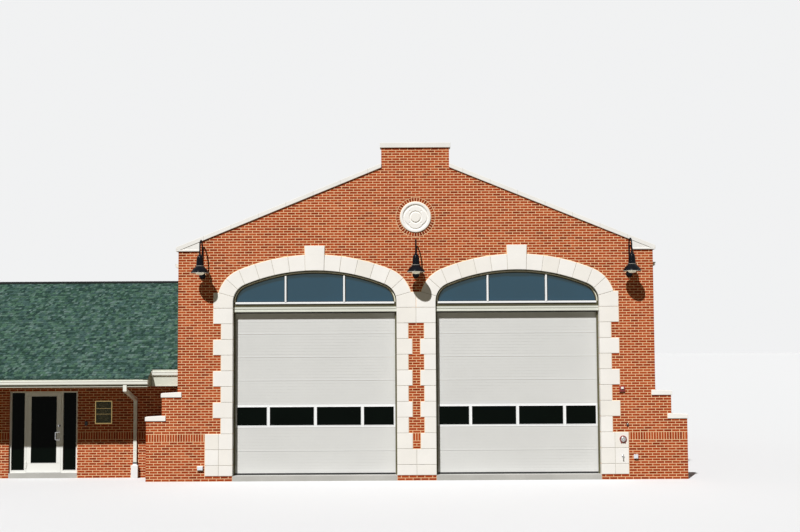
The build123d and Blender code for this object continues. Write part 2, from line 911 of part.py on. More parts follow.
# One door section behind the opening
def door_section(x, index):
    bottom = index * section_height
    top = bottom + section_height - section_gap
    if index == 0:
        bottom = bottom + section_gap / 2
    return block(x - door_side_lap, x + opening_width + door_side_lap, front_thickness,
                 front_thickness + door_thickness, bottom, top)


# Plain sections with pressed grooves
def door_panels(x):
    panels = []
    for index in range(door_sections):
        if index == window_section:
            continue
        panel = door_section(x, index)
        pitch = section_height / (grooves_in_section + 1)
        for i in range(grooves_in_section):
            level = index * section_height + (i + 1) * pitch
            panel = panel - block(x + door_seal_width, x + opening_width - door_seal_width,
                                  front_thickness, front_thickness + groove_depth,
                                  level - groove_width / 2, level + groove_width / 2)
        panels.append(panel)
    return panels


# The window section with its four lights cut through
def door_window_frame(x):
    frame = door_section(x, window_section)
    bottom = window_section * section_height + light_bottom
    for x0, x1 in door_lights(x):
        frame = frame - block(x0, x1, 0, 2 * front_thickness, bottom, bottom + light_height)
    return frame


def door_panes(x):
    bottom = window_section * section_height + light_bottom
    front = front_thickness + (door_thickness - glass_thickness) / 2
    return [block(x0, x1, front, front + glass_thickness, bottom, bottom + light_height)
            for x0, x1 in door_lights(x)]


# Round canopy on the wall, drawn as half its section and turned
def lamp_canopy(x):
    radius, edge, depth = lamp_canopy_radius, lamp_canopy_edge, lamp_canopy_depth
    bend = (radius * lamp_canopy_bend, edge + (depth - edge) * lamp_canopy_bend)
    section = make_face([
        Line((0, 0), (radius, 0)),
        Line((radius, 0), (radius, edge)),
        ThreePointArc((radius, edge), bend, (0, depth)),
        Line((0, depth), (0, 0)),
    ])
    turned = revolve(Plane.XZ * section, axis=Axis.Z)
    return Pos(x, 0, lamp_height) * Rot(90, 0, 0) * turned


# Canopy with a gooseneck arm
def lamp_bracket(x):
    radius = (lamp_reach - lamp_riser_offset) / 2
    level = lamp_arm_top - lamp_arm_radius - radius
    near = -lamp_riser_offset
    far = -lamp_reach
    path = Wire([
        Edge.make_line((x, near, lamp_height), (x, near, level)),
        Edge.make_three_point_arc((x, near, level), (x, (near + far) / 2, level + radius), (x, far, level)),
        Edge.make_line((x, far, level), (x, far, lamp_neck_top)),
    ])
    section = Plane((x, near, lamp_height), z_dir=(0, 0, 1)) * Circle(lamp_arm_radius)
    return lamp_canopy(x) + sweep(section, path=path)


# Open bell shade hung from the arm
def lamp_shade(x):
    def bell(wall):
        top = lamp_neck_top - wall
        crown = (shade_collar_radius - wall, top)
        shoulder = (shade_neck_radius - wall, lamp_neck_top - shade_shoulder)
        dome = (shoulder[0] - shade_dome_bend * (shoulder[0] - crown[0]),
                top - shade_dome_bend * (top - shoulder[1]))
        neck = (shoulder[0], shade_neck_bottom)
        waist = (shade_waist_radius - wall, shade_waist_height)
        flare = (neck[0] + shade_flare_out * (waist[0] - neck[0]),
                 neck[1] - shade_flare_down * (neck[1] - waist[1]))
        rim = (shade_rim_radius - wall, shade_rim_height)
        run, fall = rim[0] - waist[0], waist[1] - rim[1]
        length = sqrt(run ** 2 + fall ** 2)
        skirt = ((waist[0] + rim[0]) / 2 + shade_skirt_bulge * fall / length,
                 (waist[1] + rim[1]) / 2 + shade_skirt_bulge * run / length)
        return make_face([
            Line((0, top), crown),
            ThreePointArc(crown, dome, shoulder),
            Line(shoulder, neck),
            ThreePointArc(neck, flare, waist),
            ThreePointArc(waist, skirt, rim),
            Line(rim, (0, shade_rim_height)),
            Line((0, shade_rim_height), (0, top)),
        ])

    shell = bell(0) - bell(shade_wall)
    turned = revolve(Plane.XZ * shell, axis=Axis.Z)
    return Pos(x, -lamp_reach, 0) * turned


# Storefront frame: two jambs, a head, two posts beside the door and the sidelight sills
def make_entrance_frame():
    back = frame_front + frame_depth
    frame = block(entrance_left, entrance_right, frame_front, back, 0, entrance_head)
    post_left = leaf_left - leaf_clearance - frame_member
    post_right = leaf_left + leaf_width + leaf_clearance + frame_member
    top = entrance_head - frame_head
    frame = frame - block(post_left + frame_member, post_right - frame_member, 0, 2 * back, 0, top)
    for x0, x1 in sidelights():
        frame = frame - block(x0, x1, 0, 2 * back, sidelight_sill, top)
    for height in hinge_heights:
        frame = frame + frame_hinge(height)
    return frame


# Glass widths on both sides of the door
def sidelights():
    post_left = leaf_left - leaf_clearance - frame_member
    post_right = leaf_left + leaf_width + leaf_clearance + frame_member
    return ((entrance_left + frame_member, post_left), (post_right, entrance_right - frame_member))


def make_sidelight_glass():
    front = frame_front + (frame_depth - glass_thickness) / 2
    top = entrance_head - frame_head
    return [block(x0, x1, front, front + glass_thickness, sidelight_sill, top) for x0, x1 in sidelights()]


# Upper and lower knuckles on the frame, joined by the pin
def frame_hinge(height):
    half = hinge_knuckle / 2
    hinge = Pos(hinge_x, hinge_y, height) * Cylinder(hinge_pin_radius, 3 * hinge_knuckle)
    for side in (-1, 1):
        middle_z = height + side * (hinge_knuckle + hinge_end_gap / 2)
        barrel = Cylinder(hinge_barrel_radius, hinge_knuckle - hinge_end_gap)
        hinge = hinge + Pos(hinge_x, hinge_y, middle_z) * barrel
        hinge = hinge + block(hinge_x - hinge_leaf_width, hinge_x, hinge_y, frame_front,
                              middle_z - half + hinge_end_gap / 2, middle_z + half - hinge_end_gap / 2)
    return hinge


# Middle knuckle on the door, bored for the pin
def door_hinge(height):
    half = hinge_knuckle / 2
    knuckle = Pos(hinge_x, hinge_y, height) * Cylinder(hinge_barrel_radius, hinge_knuckle)
    plate = block(hinge_x, hinge_x + hinge_leaf_width, hinge_y, frame_front, height - half, height + half)
    bore = Cylinder(hinge_pin_radius + hinge_bore_clearance, 2 * hinge_knuckle)
    return knuckle + plate - Pos(hinge_x, hinge_y, height) * bore


# Hole for the glass inside the stiles and rails
def leaf_light():
    return (leaf_left + leaf_stile, leaf_left + leaf_width - leaf_stile,
            leaf_floor_clearance + leaf_bottom_rail, leaf_top - leaf_top_rail)


def make_door_leaf():
    leaf = block(leaf_left, leaf_left + leaf_width, frame_front, frame_front + leaf_thickness,
                 leaf_floor_clearance, leaf_top)
    x0, x1, z0, z1 = leaf_light()
    leaf = leaf - block(x0, x1, 0, 2 * frame_front, z0, z1)
    for height in hinge_heights:
        leaf = leaf + door_hinge(height)
    return leaf


def make_door_glass():
    x0, x1, z0, z1 = leaf_light()
    front = frame_front + (leaf_thickness - glass_thickness) / 2
    return block(x0, x1, front, front + glass_thickness, z0, z1)


# Pull handle bent from one rod, offset from its posts, and lock outside; push bar inside
def make_door_pull():
    x = leaf_left + leaf_width - leaf_stile / 2
    y = frame_front - pull_standoff
    low, high = pull_bottom + pull_radius, pull_top - pull_radius
    path = FilletPolyline((x, frame_front, high), (x, y, high), (x - pull_offset, y, high),
                          (x - pull_offset, y, low), (x, y, low), (x, frame_front, low), radius=pull_bend)
    section = Plane((x, frame_front, high), z_dir=(0, -1, 0)) * Circle(pull_radius)
    grip = sweep(section, path=path)
    cylinder = Rot(90, 0, 0) * Cylinder(lock_radius, lock_depth)
    lock = Pos(x, frame_front - lock_depth / 2, lock_height) * cylinder
    inside = frame_front + leaf_thickness
    bar = block(leaf_left + leaf_stile / 2, leaf_left + leaf_width - leaf_stile / 2,
                inside + push_bar_standoff, inside + push_bar_standoff + push_bar_size,
                push_bar_height - push_bar_size / 2, push_bar_height + push_bar_size / 2)
    for side in (leaf_left + leaf_stile / 2, leaf_left + leaf_width - leaf_stile / 2 - push_bar_size):
        bar = bar + block(side, side + push_bar_size, inside, inside + push_bar_standoff,
                          push_bar_height - push_bar_size / 2, push_bar_height + push_bar_size / 2)
    return [grip, lock, bar]


# Plaque with a raised border and a sunk field
def make_plaque():
    x0 = entrance_right + plaque_gap
    x1 = x0 + plaque_width
    top = plaque_bottom + plaque_height
    face = wing_front - plaque_thickness
    plate = block(x0, x1, face, wing_front, plaque_bottom, top)
    field = block(x0 + plaque_border, x1 - plaque_border, face, face + plaque_recess,
                  plaque_bottom + plaque_border, top - plaque_border)
    return plate - field


# Round alarm bell on the right jamb stones
def make_fire_bell():
    x = front_width - bell_offset
    back_plate = Pos(x, bell_height) * Circle(bell_ring_radius)
    ring = front_piece(back_plate, -stone_proud - bell_depth / 2, -stone_proud)
    dome_centre = bell_dome_radius ** 2 / (2 * bell_depth) + bell_depth / 2
    radius = sqrt(bell_dome_radius ** 2 + (dome_centre - bell_depth) ** 2)
    base = -stone_proud - bell_depth / 2
    ball = Pos(x, base + radius - bell_depth, bell_height) * Sphere(radius)
    cap = block(x - bell_dome_radius * 2, x + bell_dome_radius * 2, base - 2 * bell_depth, base,
                bell_height - 2 * bell_dome_radius, bell_height + 2 * bell_dome_radius)
    return ring + (ball & cap)


def make_hose_tap():
    x = front_width - bell_offset
    face = -stone_proud
    length = tap_reach + tap_pipe_radius
    body = Pos(x, face - length / 2, tap_height) * Rot(90, 0, 0) * Cylinder(tap_pipe_radius, length)
    flange = Rot(90, 0, 0) * Cylinder(tap_flange_radius, tap_flange_thickness)
    flange = Pos(x, face - tap_flange_thickness / 2, tap_height) * flange
    place = Pos(x, face - tap_reach, tap_height)
    spout = place * Pos(0, 0, -tap_spout_drop / 2) * Cylinder(tap_spout_radius, tap_spout_drop)
    stem = place * Pos(0, 0, tap_stem_height / 2) * Cylinder(tap_stem_radius, tap_stem_height)
    wheel = place * Pos(0, 0, tap_stem_height) * Cylinder(tap_wheel_radius, tap_wheel_thickness)
    return body + flange + spout + stem + wheel


# A box fixed on a wall face, given by its middle, its size and how far it stands off
def wall_box(x, height, width, tall, depth, wall_face=0):
    return block(x - width / 2, x + width / 2, wall_face - depth, wall_face,
                 height - tall / 2, height + tall / 2)


# Outlet boxes, key switch and keypad
def make_wall_boxes():
    return [
        wall_box(front_width - outlet_offset, outlet_height, outlet_width, outlet_tall, outlet_depth),
        wall_box(left_outlet_offset, left_outlet_height, left_outlet_width, left_outlet_tall,
                 left_outlet_depth),
        wall_box(front_width - key_switch_offset, key_switch_height, key_switch_width, key_switch_tall,
                 key_switch_depth),
        wall_box(entrance_right + keypad_gap, keypad_height, keypad_width, keypad_tall, keypad_depth,
                 wing_front),
    ]


# Alarm horn with its strobe on the upper half
def make_alarm_horn():
    x = front_width - horn_offset
    horn = wall_box(x, horn_height, horn_width, horn_width, horn_depth)
    strobe = wall_box(x, horn_height + strobe_height / 2, strobe_width, strobe_height, strobe_depth,
                      -horn_depth)
    return horn + strobe


# Brickwork of the front, cut for the stones that are set in it
def make_front_walls(left_jamb, pier_stones, right_jamb, arch_rings, caps):
    pier_left = margin_width + opening_width
    left = block(0, margin_width, 0, front_thickness, base_level, pier_top)
    left = cut_away(left, left_jamb + caps)
    centre = block(pier_left, pier_left + pier_width, 0, front_thickness, base_level, pier_top)
    arches = front_piece(gable_band(pier_top, keystone_top), 0, front_thickness)
    openings = [front_piece(arch_opening(x, base_level), 0, front_thickness) for x in (left_arch, right_arch)]
    stones = arch_rings + [left_jamb[-1], right_jamb[-1]] + pier_stones
    arches = cut_away(arches, openings + stones + [medallion_pocket()])
    gable = front_piece(gable_band(keystone_top, block_top), 0, front_thickness)
    return {
        "front_wall_left": [left],
        "front_wall_centre": [cut_away(centre, pier_stones)],
        "front_wall_right": [mirrored(left)],
        "front_arch_wall": [arches],
        "front_gable": [gable - medallion_pocket()],
    }


# Cut stones, copings and caps
def make_stonework():
    left_ring = arch_stones(left_arch)
    right_jamb = right_jamb_stones()
    caps = left_step_caps()
    return {
        "left_jamb_stones": [mirrored(stone) for stone in right_jamb],
        "centre_pier_stones": centre_pier_stones(),
        "right_jamb_stones": right_jamb,
        "left_arch_stones": left_ring,
        "right_arch_stones": [mirrored(stone) for stone in left_ring],
        "front_coping": coping_stones(-coping_overhang, front_thickness + coping_overhang),
        "rear_coping": coping_stones(roof_back - coping_overhang, bay_back + coping_overhang),
        "step_wall_caps": caps + [mirrored(cap) for cap in caps],
        "medallion": [make_medallion()],
    }


# Shell of the bay behind its front
def make_bay_shell(caps):
    left_step = cut_away(make_left_step_wall(), caps)
    side_wall = make_bay_left_wall()
    roof = make_bay_roof_left()
    return {
        "bay_floor": [make_bay_floor()],
        "left_step_wall": [left_step],
        "right_step_wall": [mirrored(left_step)],
        "bay_left_wall": [side_wall],
        "bay_right_wall": [mirrored(side_wall)],
        "bay_rear_wall": [front_piece(gable_outline(), roof_back, bay_back)],
        "bay_roof_left": [roof],
        "bay_roof_right": [mirrored(roof)],
        "ridge_caps": make_ridge_caps(),
        "bay_gutters": make_bay_gutters(),
        "bay_downspouts": make_bay_downspouts(),
    }


# Doors, transoms and lamps on the front of the bay
def make_bay_front_fittings():
    arches = (left_arch, right_arch)
    edges = door_left.values()
    return {
        "left_bay_door": door_panels(door_left["left"]),
        "right_bay_door": door_panels(door_left["right"]),
        "door_window_frames": [door_window_frame(x) for x in edges],
        "door_window_glass": [pane for x in edges for pane in door_panes(x)],
        "door_headers": make_door_headers(),
        "door_seals": make_door_seals(),
        "transom_frames": [transom_frame(x) for x in arches],
        "transom_bars": [transom_bars(x) for x in arches],
        "transom_glass": [transom_panes(x) for x in arches],
        "lamp_brackets": [lamp_bracket(x) for x in lamp_places],
        "left_lamp_shade": [lamp_shade(lamp_places[0])],
        "centre_lamp_shade": [lamp_shade(lamp_places[1])],
        "right_lamp_shade": [lamp_shade(lamp_places[2])],
        "fire_bell": [make_fire_bell()],
        "wall_fittings": make_wall_boxes() + [make_hose_tap(), make_alarm_horn()],
    }


# Walls, roof and drainage of the office wing
def make_wing():
    thick = wing_wall_thickness
    front = (wing_front, wing_front + thick)
    back = (wing_back - thick, wing_back)
    left = -wing_length + thick
    return {
        "wing_floor": [make_wing_floor()],
        "wing_front_wall_left": [wing_wall(left, entrance_left, *front, base_level)],
        "wing_front_wall_right": [wing_wall(entrance_right, 0, *front, base_level)],
        "wing_door_lintel": [wing_wall(entrance_left, entrance_right, *front, entrance_head)],
        "wing_gable_wall": [make_wing_gable_wall()],
        "wing_rear_wall": [wing_wall(left, 0, *back, base_level)],
        "wing_roof_front": [make_wing_roof_front()],
        "wing_roof_rear": [make_wing_roof_rear()],
        "wing_eaves": make_wing_eaves(),
        "wing_barge_boards": [make_barge_boards()],
        "wing_gutters": make_wing_gutters(),
        "wing_downspouts": make_wing_downspouts(),
        "downspout_boots": make_downspout_boots(),
        "plaque": [make_plaque()],
    }


# Glazed entrance: the frame stays, and the leaf, its glass and its pull turn together
def make_entrance():
    return {
        "entrance_frame": [make_entrance_frame()],
        "sidelight_glass": make_sidelight_glass(),
        "entrance_door_leaf": [make_door_leaf()],
        "entrance_door_glass": [make_door_glass()],
        "entrance_door_pull": make_door_pull(),
    }


stonework = make_stonework()
step_caps = stonework["step_wall_caps"]
pieces = make_front_walls(stonework["left_jamb_stones"], stonework["centre_pier_stones"],
                          stonework["right_jamb_stones"],
                          stonework["left_arch_stones"] + stonework["right_arch_stones"], step_caps)
pieces.update(stonework)
pieces.update(make_bay_shell(step_caps))
pieces.update(make_bay_front_fittings())
pieces.update(make_wing())
pieces.update(make_entrance())

os.makedirs("parts", exist_ok=True)
for name, shapes in pieces.items():
    solids = solids_of(shapes)
    piece = solids[0] if len(solids) == 1 else Compound(solids)
    piece = Pos(-plan_middle[0], -plan_middle[1], -base_level) * piece
    export_step(piece, f"parts/{name}.step")
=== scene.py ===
import math
import random

import bpy
from mathutils import Matrix, Vector


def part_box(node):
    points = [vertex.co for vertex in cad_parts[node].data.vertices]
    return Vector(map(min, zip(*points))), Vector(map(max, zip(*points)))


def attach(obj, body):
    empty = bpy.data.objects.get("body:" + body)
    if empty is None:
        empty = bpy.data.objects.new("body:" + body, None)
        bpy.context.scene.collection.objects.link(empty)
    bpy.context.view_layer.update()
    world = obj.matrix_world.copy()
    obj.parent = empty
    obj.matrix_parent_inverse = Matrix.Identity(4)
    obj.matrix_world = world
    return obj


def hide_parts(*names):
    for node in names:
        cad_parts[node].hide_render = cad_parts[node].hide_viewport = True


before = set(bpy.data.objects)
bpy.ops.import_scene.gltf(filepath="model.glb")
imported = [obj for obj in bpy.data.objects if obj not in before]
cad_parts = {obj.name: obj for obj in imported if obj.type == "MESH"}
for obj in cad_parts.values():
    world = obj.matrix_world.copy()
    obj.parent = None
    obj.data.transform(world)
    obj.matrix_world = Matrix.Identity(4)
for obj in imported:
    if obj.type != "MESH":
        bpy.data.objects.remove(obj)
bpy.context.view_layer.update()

print("model loaded:", len(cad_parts), "nodes")

# Places of the building that everything else hangs on, read from the solids.
# Lengths are in metres from the front wall's left corner at floor level.
zero = Vector((*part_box("front_wall_left")[0][:2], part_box("bay_floor")[1].z))


def solid(name):
    return [[a - b for a, b in zip(corner, zero)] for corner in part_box(name)]


def span(centre, width):
    return centre - width / 2, centre + width / 2


def grown(ends, by):
    return ends[0] - by, ends[1] + by


def off(base, ends):
    return [base + end for end in ends]


def turns(steps, whole=2 * math.pi, ends=0):
    return [whole * k / steps for k in range(steps + ends)]


module = solid("front_wall_left")[1][0] / 7      # one brick with its joint
course = module / 3
frontWidth = solid("front_wall_right")[1][0]
middle = frontWidth / 2
margin, openingWidth, pierWidth = 7 * module, 21 * module, 5 * module
archCentres = (margin + openingWidth / 2, frontWidth - margin - openingWidth / 2)
bayBack = solid("bay_rear_wall")[1][1]
(wingLeft, wingFront, _), (_, wingBack, _) = solid("wing_gable_wall")
wallThick = .254
rows = {"foot": -2, "kneeler": 86, "block": 119, "top": 126}      # brick courses, counted from the floor

arch = {"mainRadius": 4.8, "cornerRadius": .5, "ring": 2 * module, "pierTop": 64 * course,
        "springAbovePier": .157, "keystoneHeight": .645, "keystoneTop": .522, "keystoneFoot": .478}
springing = arch["pierTop"] + arch["springAbovePier"]
cornerOffset = openingWidth / 2 - arch["cornerRadius"]
archDrop = math.sqrt((arch["mainRadius"] - arch["cornerRadius"]) ** 2 - cornerOffset ** 2)
mainCentre = springing - archDrop
crown = mainCentre + arch["mainRadius"]
archTurn = math.atan2(archDrop, cornerOffset)

gable = {"edge": 5.961, "slope": .4075, "coping": .114, "overhang": .038, "kneelerIn": .5456,
         "kneelerFoot": rows["kneeler"] * course, "blockWidth": 1.778}
blockLeft = middle - gable["blockWidth"] / 2
bayRoof = {"eave": 5.510, "thickness": .200, "front": wallThick, "back": bayBack - wallThick}
wingRoof = {"ridge": 5.390, "ridgeY": (wingFront + wingBack) / 2, "pitch": 5 / 12, "thickness": .150,
            "eaveY": -.220, "rake": .300, "soffit": 2.316, "notchX": -.725, "notchSolid": -.881,
            "notchY": .300, "boxY": .230}
eaveY, notchX, notchY, soffit = (wingRoof[k] for k in ("eaveY", "notchX", "notchY", "soffit"))
rakeX, rearEaveY = wingLeft - wingRoof["rake"], 2 * wingRoof["ridgeY"] - eaveY


def wingTop(y):
    return wingRoof["ridge"] - wingRoof["pitch"] * abs(wingRoof["ridgeY"] - y)


def wingSlope(y):
    return wingRoof["pitch"] * (1 if y < wingRoof["ridgeY"] else -1)


# camera, light and floor
camera = {"place": (5.716, -31.285, 3.359), "pitch": 3.765, "yaw": .127, "roll": -.302, "lens": 54,
          "sensor": 36, "reach": 2000}
# lamps: path of the light, strength and softness; the two level fills reach only the back and the sides
studio = {"lamps": {"key": ((.40, 1.0, -1.20), 4.55, 1.1), "fill0": ((.75, -1, 0), 1.0, 25),
                    "fill1": ((-.75, -1, 0), 1.0, 25)},
          "skyStrength": .086, "skyLight": (1, .97, .90), "skySeen": (.88, .885, .89),
          "floor": (.74, .744, .75), "floorBounce": (.135, .119, .080), "floorReach": 400}


def linked(name, data):
    made = bpy.data.objects.new(name, data)
    bpy.context.scene.collection.objects.link(made)
    return made


def makeCamera():
    pitch, yaw, roll = (math.radians(camera[k]) for k in ("pitch", "yaw", "roll"))
    ahead = Vector((math.sin(yaw) * math.cos(pitch), math.cos(yaw) * math.cos(pitch), math.sin(pitch)))
    right = Vector((math.cos(yaw), -math.sin(yaw), 0))
    up = right.cross(ahead)
    side = right * math.cos(roll) + up * math.sin(roll)
    top = up * math.cos(roll) - right * math.sin(roll)
    data = bpy.data.cameras.new("camera")
    data.lens, data.sensor_width, data.clip_end = camera["lens"], camera["sensor"], camera["reach"]
    eye = linked("camera", data)
    turn = Matrix((side, top, -ahead)).transposed().to_4x4()
    eye.matrix_world = Matrix.Translation(zero + Vector(camera["place"])) @ turn
    bpy.context.scene.camera = eye


def node(tree, kind, inputs, **settings):
    # inputs: plain values, or the sockets that feed them
    made = tree.nodes.new("ShaderNode" + kind)
    for key, value in settings.items():
        setattr(made, key, value)
    for key, value in inputs.items():
        if isinstance(value, bpy.types.NodeSocket):
            tree.links.new(value, made.inputs[key])
        else:
            made.inputs[key].default_value = value
    return made


def cameraShare(tree):
    # 1 for the rays that show a surface or the backdrop, 0 for those that carry its light on
    path = tree.nodes.new("ShaderNodeLightPath").outputs
    share = path["Is Camera Ray"]
    for kind in ("Is Glossy Ray", "Is Transmission Ray"):
        share = node(tree, "Math", {0: share, 1: path[kind]}, operation="MAXIMUM").outputs[0]
    return share


def makeStudio():
    scene = bpy.context.scene
    scene.view_settings.view_transform = "Standard"
    for name, (path, strength, softness) in studio["lamps"].items():
        data = bpy.data.lights.new(name, "SUN")
        data.energy, data.angle = strength, math.radians(softness)
        light = linked(name, data)
        light.rotation_mode = "QUATERNION"
        light.rotation_quaternion = Vector(path).to_track_quat("-Z", "Y")
    world = scene.world = bpy.data.worlds.new("studio")
    world.use_nodes = True
    tree = world.node_tree
    lit = tree.nodes["Background"]
    lit.inputs["Color"].default_value = (*studio["skyLight"], 1)
    lit.inputs["Strength"].default_value = studio["skyStrength"]
    seen = node(tree, "Background", {"Color": (*studio["skySeen"], 1)})
    mix = node(tree, "MixShader", {0: cameraShare(tree), 1: lit.outputs[0], 2: seen.outputs[0]})
    tree.links.new(mix.outputs[0], tree.nodes["World Output"].inputs["Surface"])
    ground = finish("studioFloor", studio["floor"], .9, .1)
    tree = ground.node_tree
    shown = node(tree, "Mix", {"Factor": cameraShare(tree), "A": (*studio["floorBounce"], 1),
                               "B": (*studio["floor"], 1)}, data_type="RGBA")
    tree.links.new(shown.outputs["Result"], tree.nodes["Principled BSDF"].inputs["Base Color"])
    mesh = bpy.data.meshes.new("floor")
    reach = studio["floorReach"]
    mesh.from_pydata([(-reach, -reach, 0), (reach, -reach, 0), (reach, reach, 0), (-reach, reach, 0)],
                     [], [(0, 1, 2, 3)])
    mesh.materials.append(ground)
    floor = linked("floor", mesh)


# finishes
def finish(name, colour, rough, specular, drift=None, grain=None, bump=None, tones=None, tint=None,
           metal=0, coat=0, coatRough=.1, glow=0):
    # tones: ramp stops, one colour for each brick, tab or stone
    # drift, grain: (scale, darkest share) and bump: (scale, depth), each with a stretch where needed
    made = bpy.data.materials.new(name)
    made.use_nodes = True
    tree = made.node_tree
    shader = tree.nodes["Principled BSDF"]
    values = {"Base Color": (*colour, 1), "Roughness": rough, "Metallic": metal,
              "Specular IOR Level": specular}
    if tint:
        values["Specular Tint"] = (*tint, 1)
    if glow:
        values.update({"Emission Color": (*colour, 1), "Emission Strength": glow})
    if coat:
        values.update({"Coat Weight": coat, "Coat Roughness": coatRough})
    for socket, value in values.items():
        shader.inputs[socket].default_value = value
    place = tree.nodes.new("ShaderNodeTexCoord").outputs["Object"]

    def noise(scale, detail, stretch=None):
        source = place
        if stretch:
            source = node(tree, "Mapping", {"Vector": place, "Scale": stretch}).outputs[0]
        return node(tree, "TexNoise", {"Vector": source, "Scale": scale, "Detail": detail}).outputs["Fac"]

    def ramp(source, stops):
        band = node(tree, "ValToRGB", {"Fac": source})
        elements = band.color_ramp.elements
        while len(elements) < len(stops):
            elements.new(1)
        for element, (at, tone) in zip(elements, stops):
            element.position = at
            element.color = (*tone, 1)
        return band.outputs["Color"]

    paint = None
    if tones:
        island = tree.nodes.new("ShaderNodeNewGeometry").outputs["Random Per Island"]
        paint = ramp(island, tones)
    for layer, detail in ((drift, 4), (grain, 2)):
        if layer:
            scale, low, *stretch = layer
            shade = ramp(noise(scale, detail, *stretch), [(.30, (low, low, low)), (.70, (1, 1, 1))])
            base = paint or ramp(noise(1, 3), [(0, colour), (1, colour)])
            paint = node(tree, "Mix", {"Factor": 1, "A": base, "B": shade}, data_type="RGBA",
                         blend_type="MULTIPLY").outputs["Result"]
    if paint:
        tree.links.new(paint, shader.inputs["Base Color"])
    if bump:
        scale, depth, *stretch = bump
        relief = node(tree, "Bump", {"Height": noise(scale, 4, *stretch), "Distance": depth, "Strength": .6})
        tree.links.new(relief.outputs["Normal"], shader.inputs["Normal"])
    return made


brickTones = [(0, (.27, .036, .009)), (.15, (.37, .052, .012)), (.5, (.44, .066, .015)),
              (.85, (.49, .082, .020)), (1, (.55, .115, .034))]
ringTones = [(0, (.20, .026, .008)), (.5, (.32, .045, .011)), (1, (.42, .070, .018))]
shingleTones = [(0, (.034, .074, .066)), (.25, (.056, .124, .086)), (.5, (.086, .158, .150)),
                (.75, (.106, .212, .140)), (1, (.180, .275, .250))]
stoneTones = [(0, (.885, .850, .785)), (.5, (.915, .885, .840)), (1, (.93, .905, .865))]
# colour, roughness, specular, drift, grain, bump and what else a finish has
looks = {
    "mortar": ((.97, .665, .385), .95, .06, (1.3, .93), (260, .92), (330, .0012)),
    "brick": ((.44, .066, .015), .9, .08, (9, .84), (170, .80), (240, .0013), {"tones": brickTones}),
    "ringBrick": ((.32, .045, .011), .9, .08, (9, .84), (170, .80), (240, .0013), {"tones": ringTones}),
    "castStone": ((.88, .855, .81), .82, .12, (2.2, .95), (190, .95), (420, .0007), {"tones": stoneTones}),
    "copingStone": ((.885, .865, .825), .8, .12, (1.6, .92), (160, .93), (380, .0008)),
    "concrete": ((.55, .54, .51), .9, .12, (1.2, .84), (90, .88), (150, .0012)),
    "shingle": ((.078, .146, .112), .95, .05, (26, .60, (.07, .8, .8)), (40, .34, (.5, .8, .8)),
                (520, .0016), {"tones": shingleTones}),
    "ridge": ((.016, .018, .017), .93, .08, None, (420, .6), (500, .0016)),
    "creamMetal": ((.86, .862, .78), .42, .25, (.9, .95), (60, .97), (5, .0012)),
    # painted shade: the eave's end board is cream trim, coloured dark olive for the shade on it
    "eaveEndPaintedShade": ((.19, .18, .11), .6, .2, (3, .85), None, (20, .0006)),
    "creamTrim": ((.66, .665, .565), .5, .25, (1.1, .93), (80, .96), (14, .0008)),
    "whiteFrame": ((.89, .90, .90), .38, .3, (1.4, .96), (70, .98), (30, .0004)),
    "doorSteel": ((.69, .69, .672), .55, .2, (.7, .95), (230, .96), (260, .0006)),
    "headerCream": ((.73, .745, .66), .45, .25, (1, .94), (70, .97), (20, .0005)),
    "olive": ((.125, .115, .066), .5, .2, (3, .8), (120, .85), (90, .0004)),
    # painted shade: dark olive for the shadow line along the stone's edge and the shade in the header's
    # groove
    "oliveDark": ((.060, .057, .025), .5, .12, (3, .8), (120, .85), (90, .0004)),
    # the frame's lighter bead, made paler than its own colour so that it reads lit where the arch shades it
    # (painted light)
    "oliveBead": ((.80, .78, .62), .4, .3, (4, .88), (150, .92), None),
    "transomGlass": ((.004, .030, .060), .06, 1, (.8, .80), None, (1.6, .0008), {"tint": (.62, .92, 1)}),
    "darkGlass": ((.0016, .0036, .0022), .07, .035, (1.5, .7), None, (2.0, .0006)),
    "entrancePaint": ((.885, .885, .845), .4, .3, (1.4, .95), (70, .97), (30, .0004)),
    "lampBlack": ((.003, .004, .007), .24, .05, (8, .75), None, (12, .0002), {"coat": .10, "coatRough": .16}),
    "lampInside": ((.92, .90, .80), .35, .5, (10, .93), None, (60, .0003)),
    "bulb": ((.88, .87, .80), .15, .5, (30, .97), None, None, {"coat": .3}),
    # painted light: the lamp's bowl glows a little, standing in for daylight on it under the shade
    "opalGlassPaintedGlow": ((.86, .82, .66), .25, .5, (30, .96), None, (20, .0002), {"glow": .30}),
    "blackRubber": ((.018, .018, .018), .75, .5, (12, .75), None, (200, .0005)),
    "sealant": ((.36, .34, .30), .8, .5, (6, .85), None, (120, .0005)),
    "steel": ((.62, .63, .64), .28, .5, (9, .88), None, (120, .0003, (1, 1, .05)), {"metal": 1}),
    "chrome": ((.48, .475, .46), .22, .5, (14, .9), None, (60, .0002), {"metal": 1}),
    "alarmRed": ((.30, .024, .022), .4, .5, (16, .85), None, (80, .0003), {"coat": .12}),
    "brass": ((.50, .36, .15), .35, .5, (20, .8), (200, .85), (150, .0004), {"metal": 1}),
    "agedBrass": ((.26, .22, .11), .5, .3, (40, .45), None, (260, .0004)),
    "bronzeField": ((.075, .078, .036), .5, .2, (34, .30), (300, .8), (260, .0006)),
    "greyBox": ((.80, .83, .90), .45, .5, (14, .88), None, (90, .0004)),
    "pointing": ((.58, .555, .49), .9, .1, (5, .88), (200, .9), (260, .0006)),
    "plaster": ((.60, .58, .53), .9, .2, (1, .93), None, (120, .0006)),
}
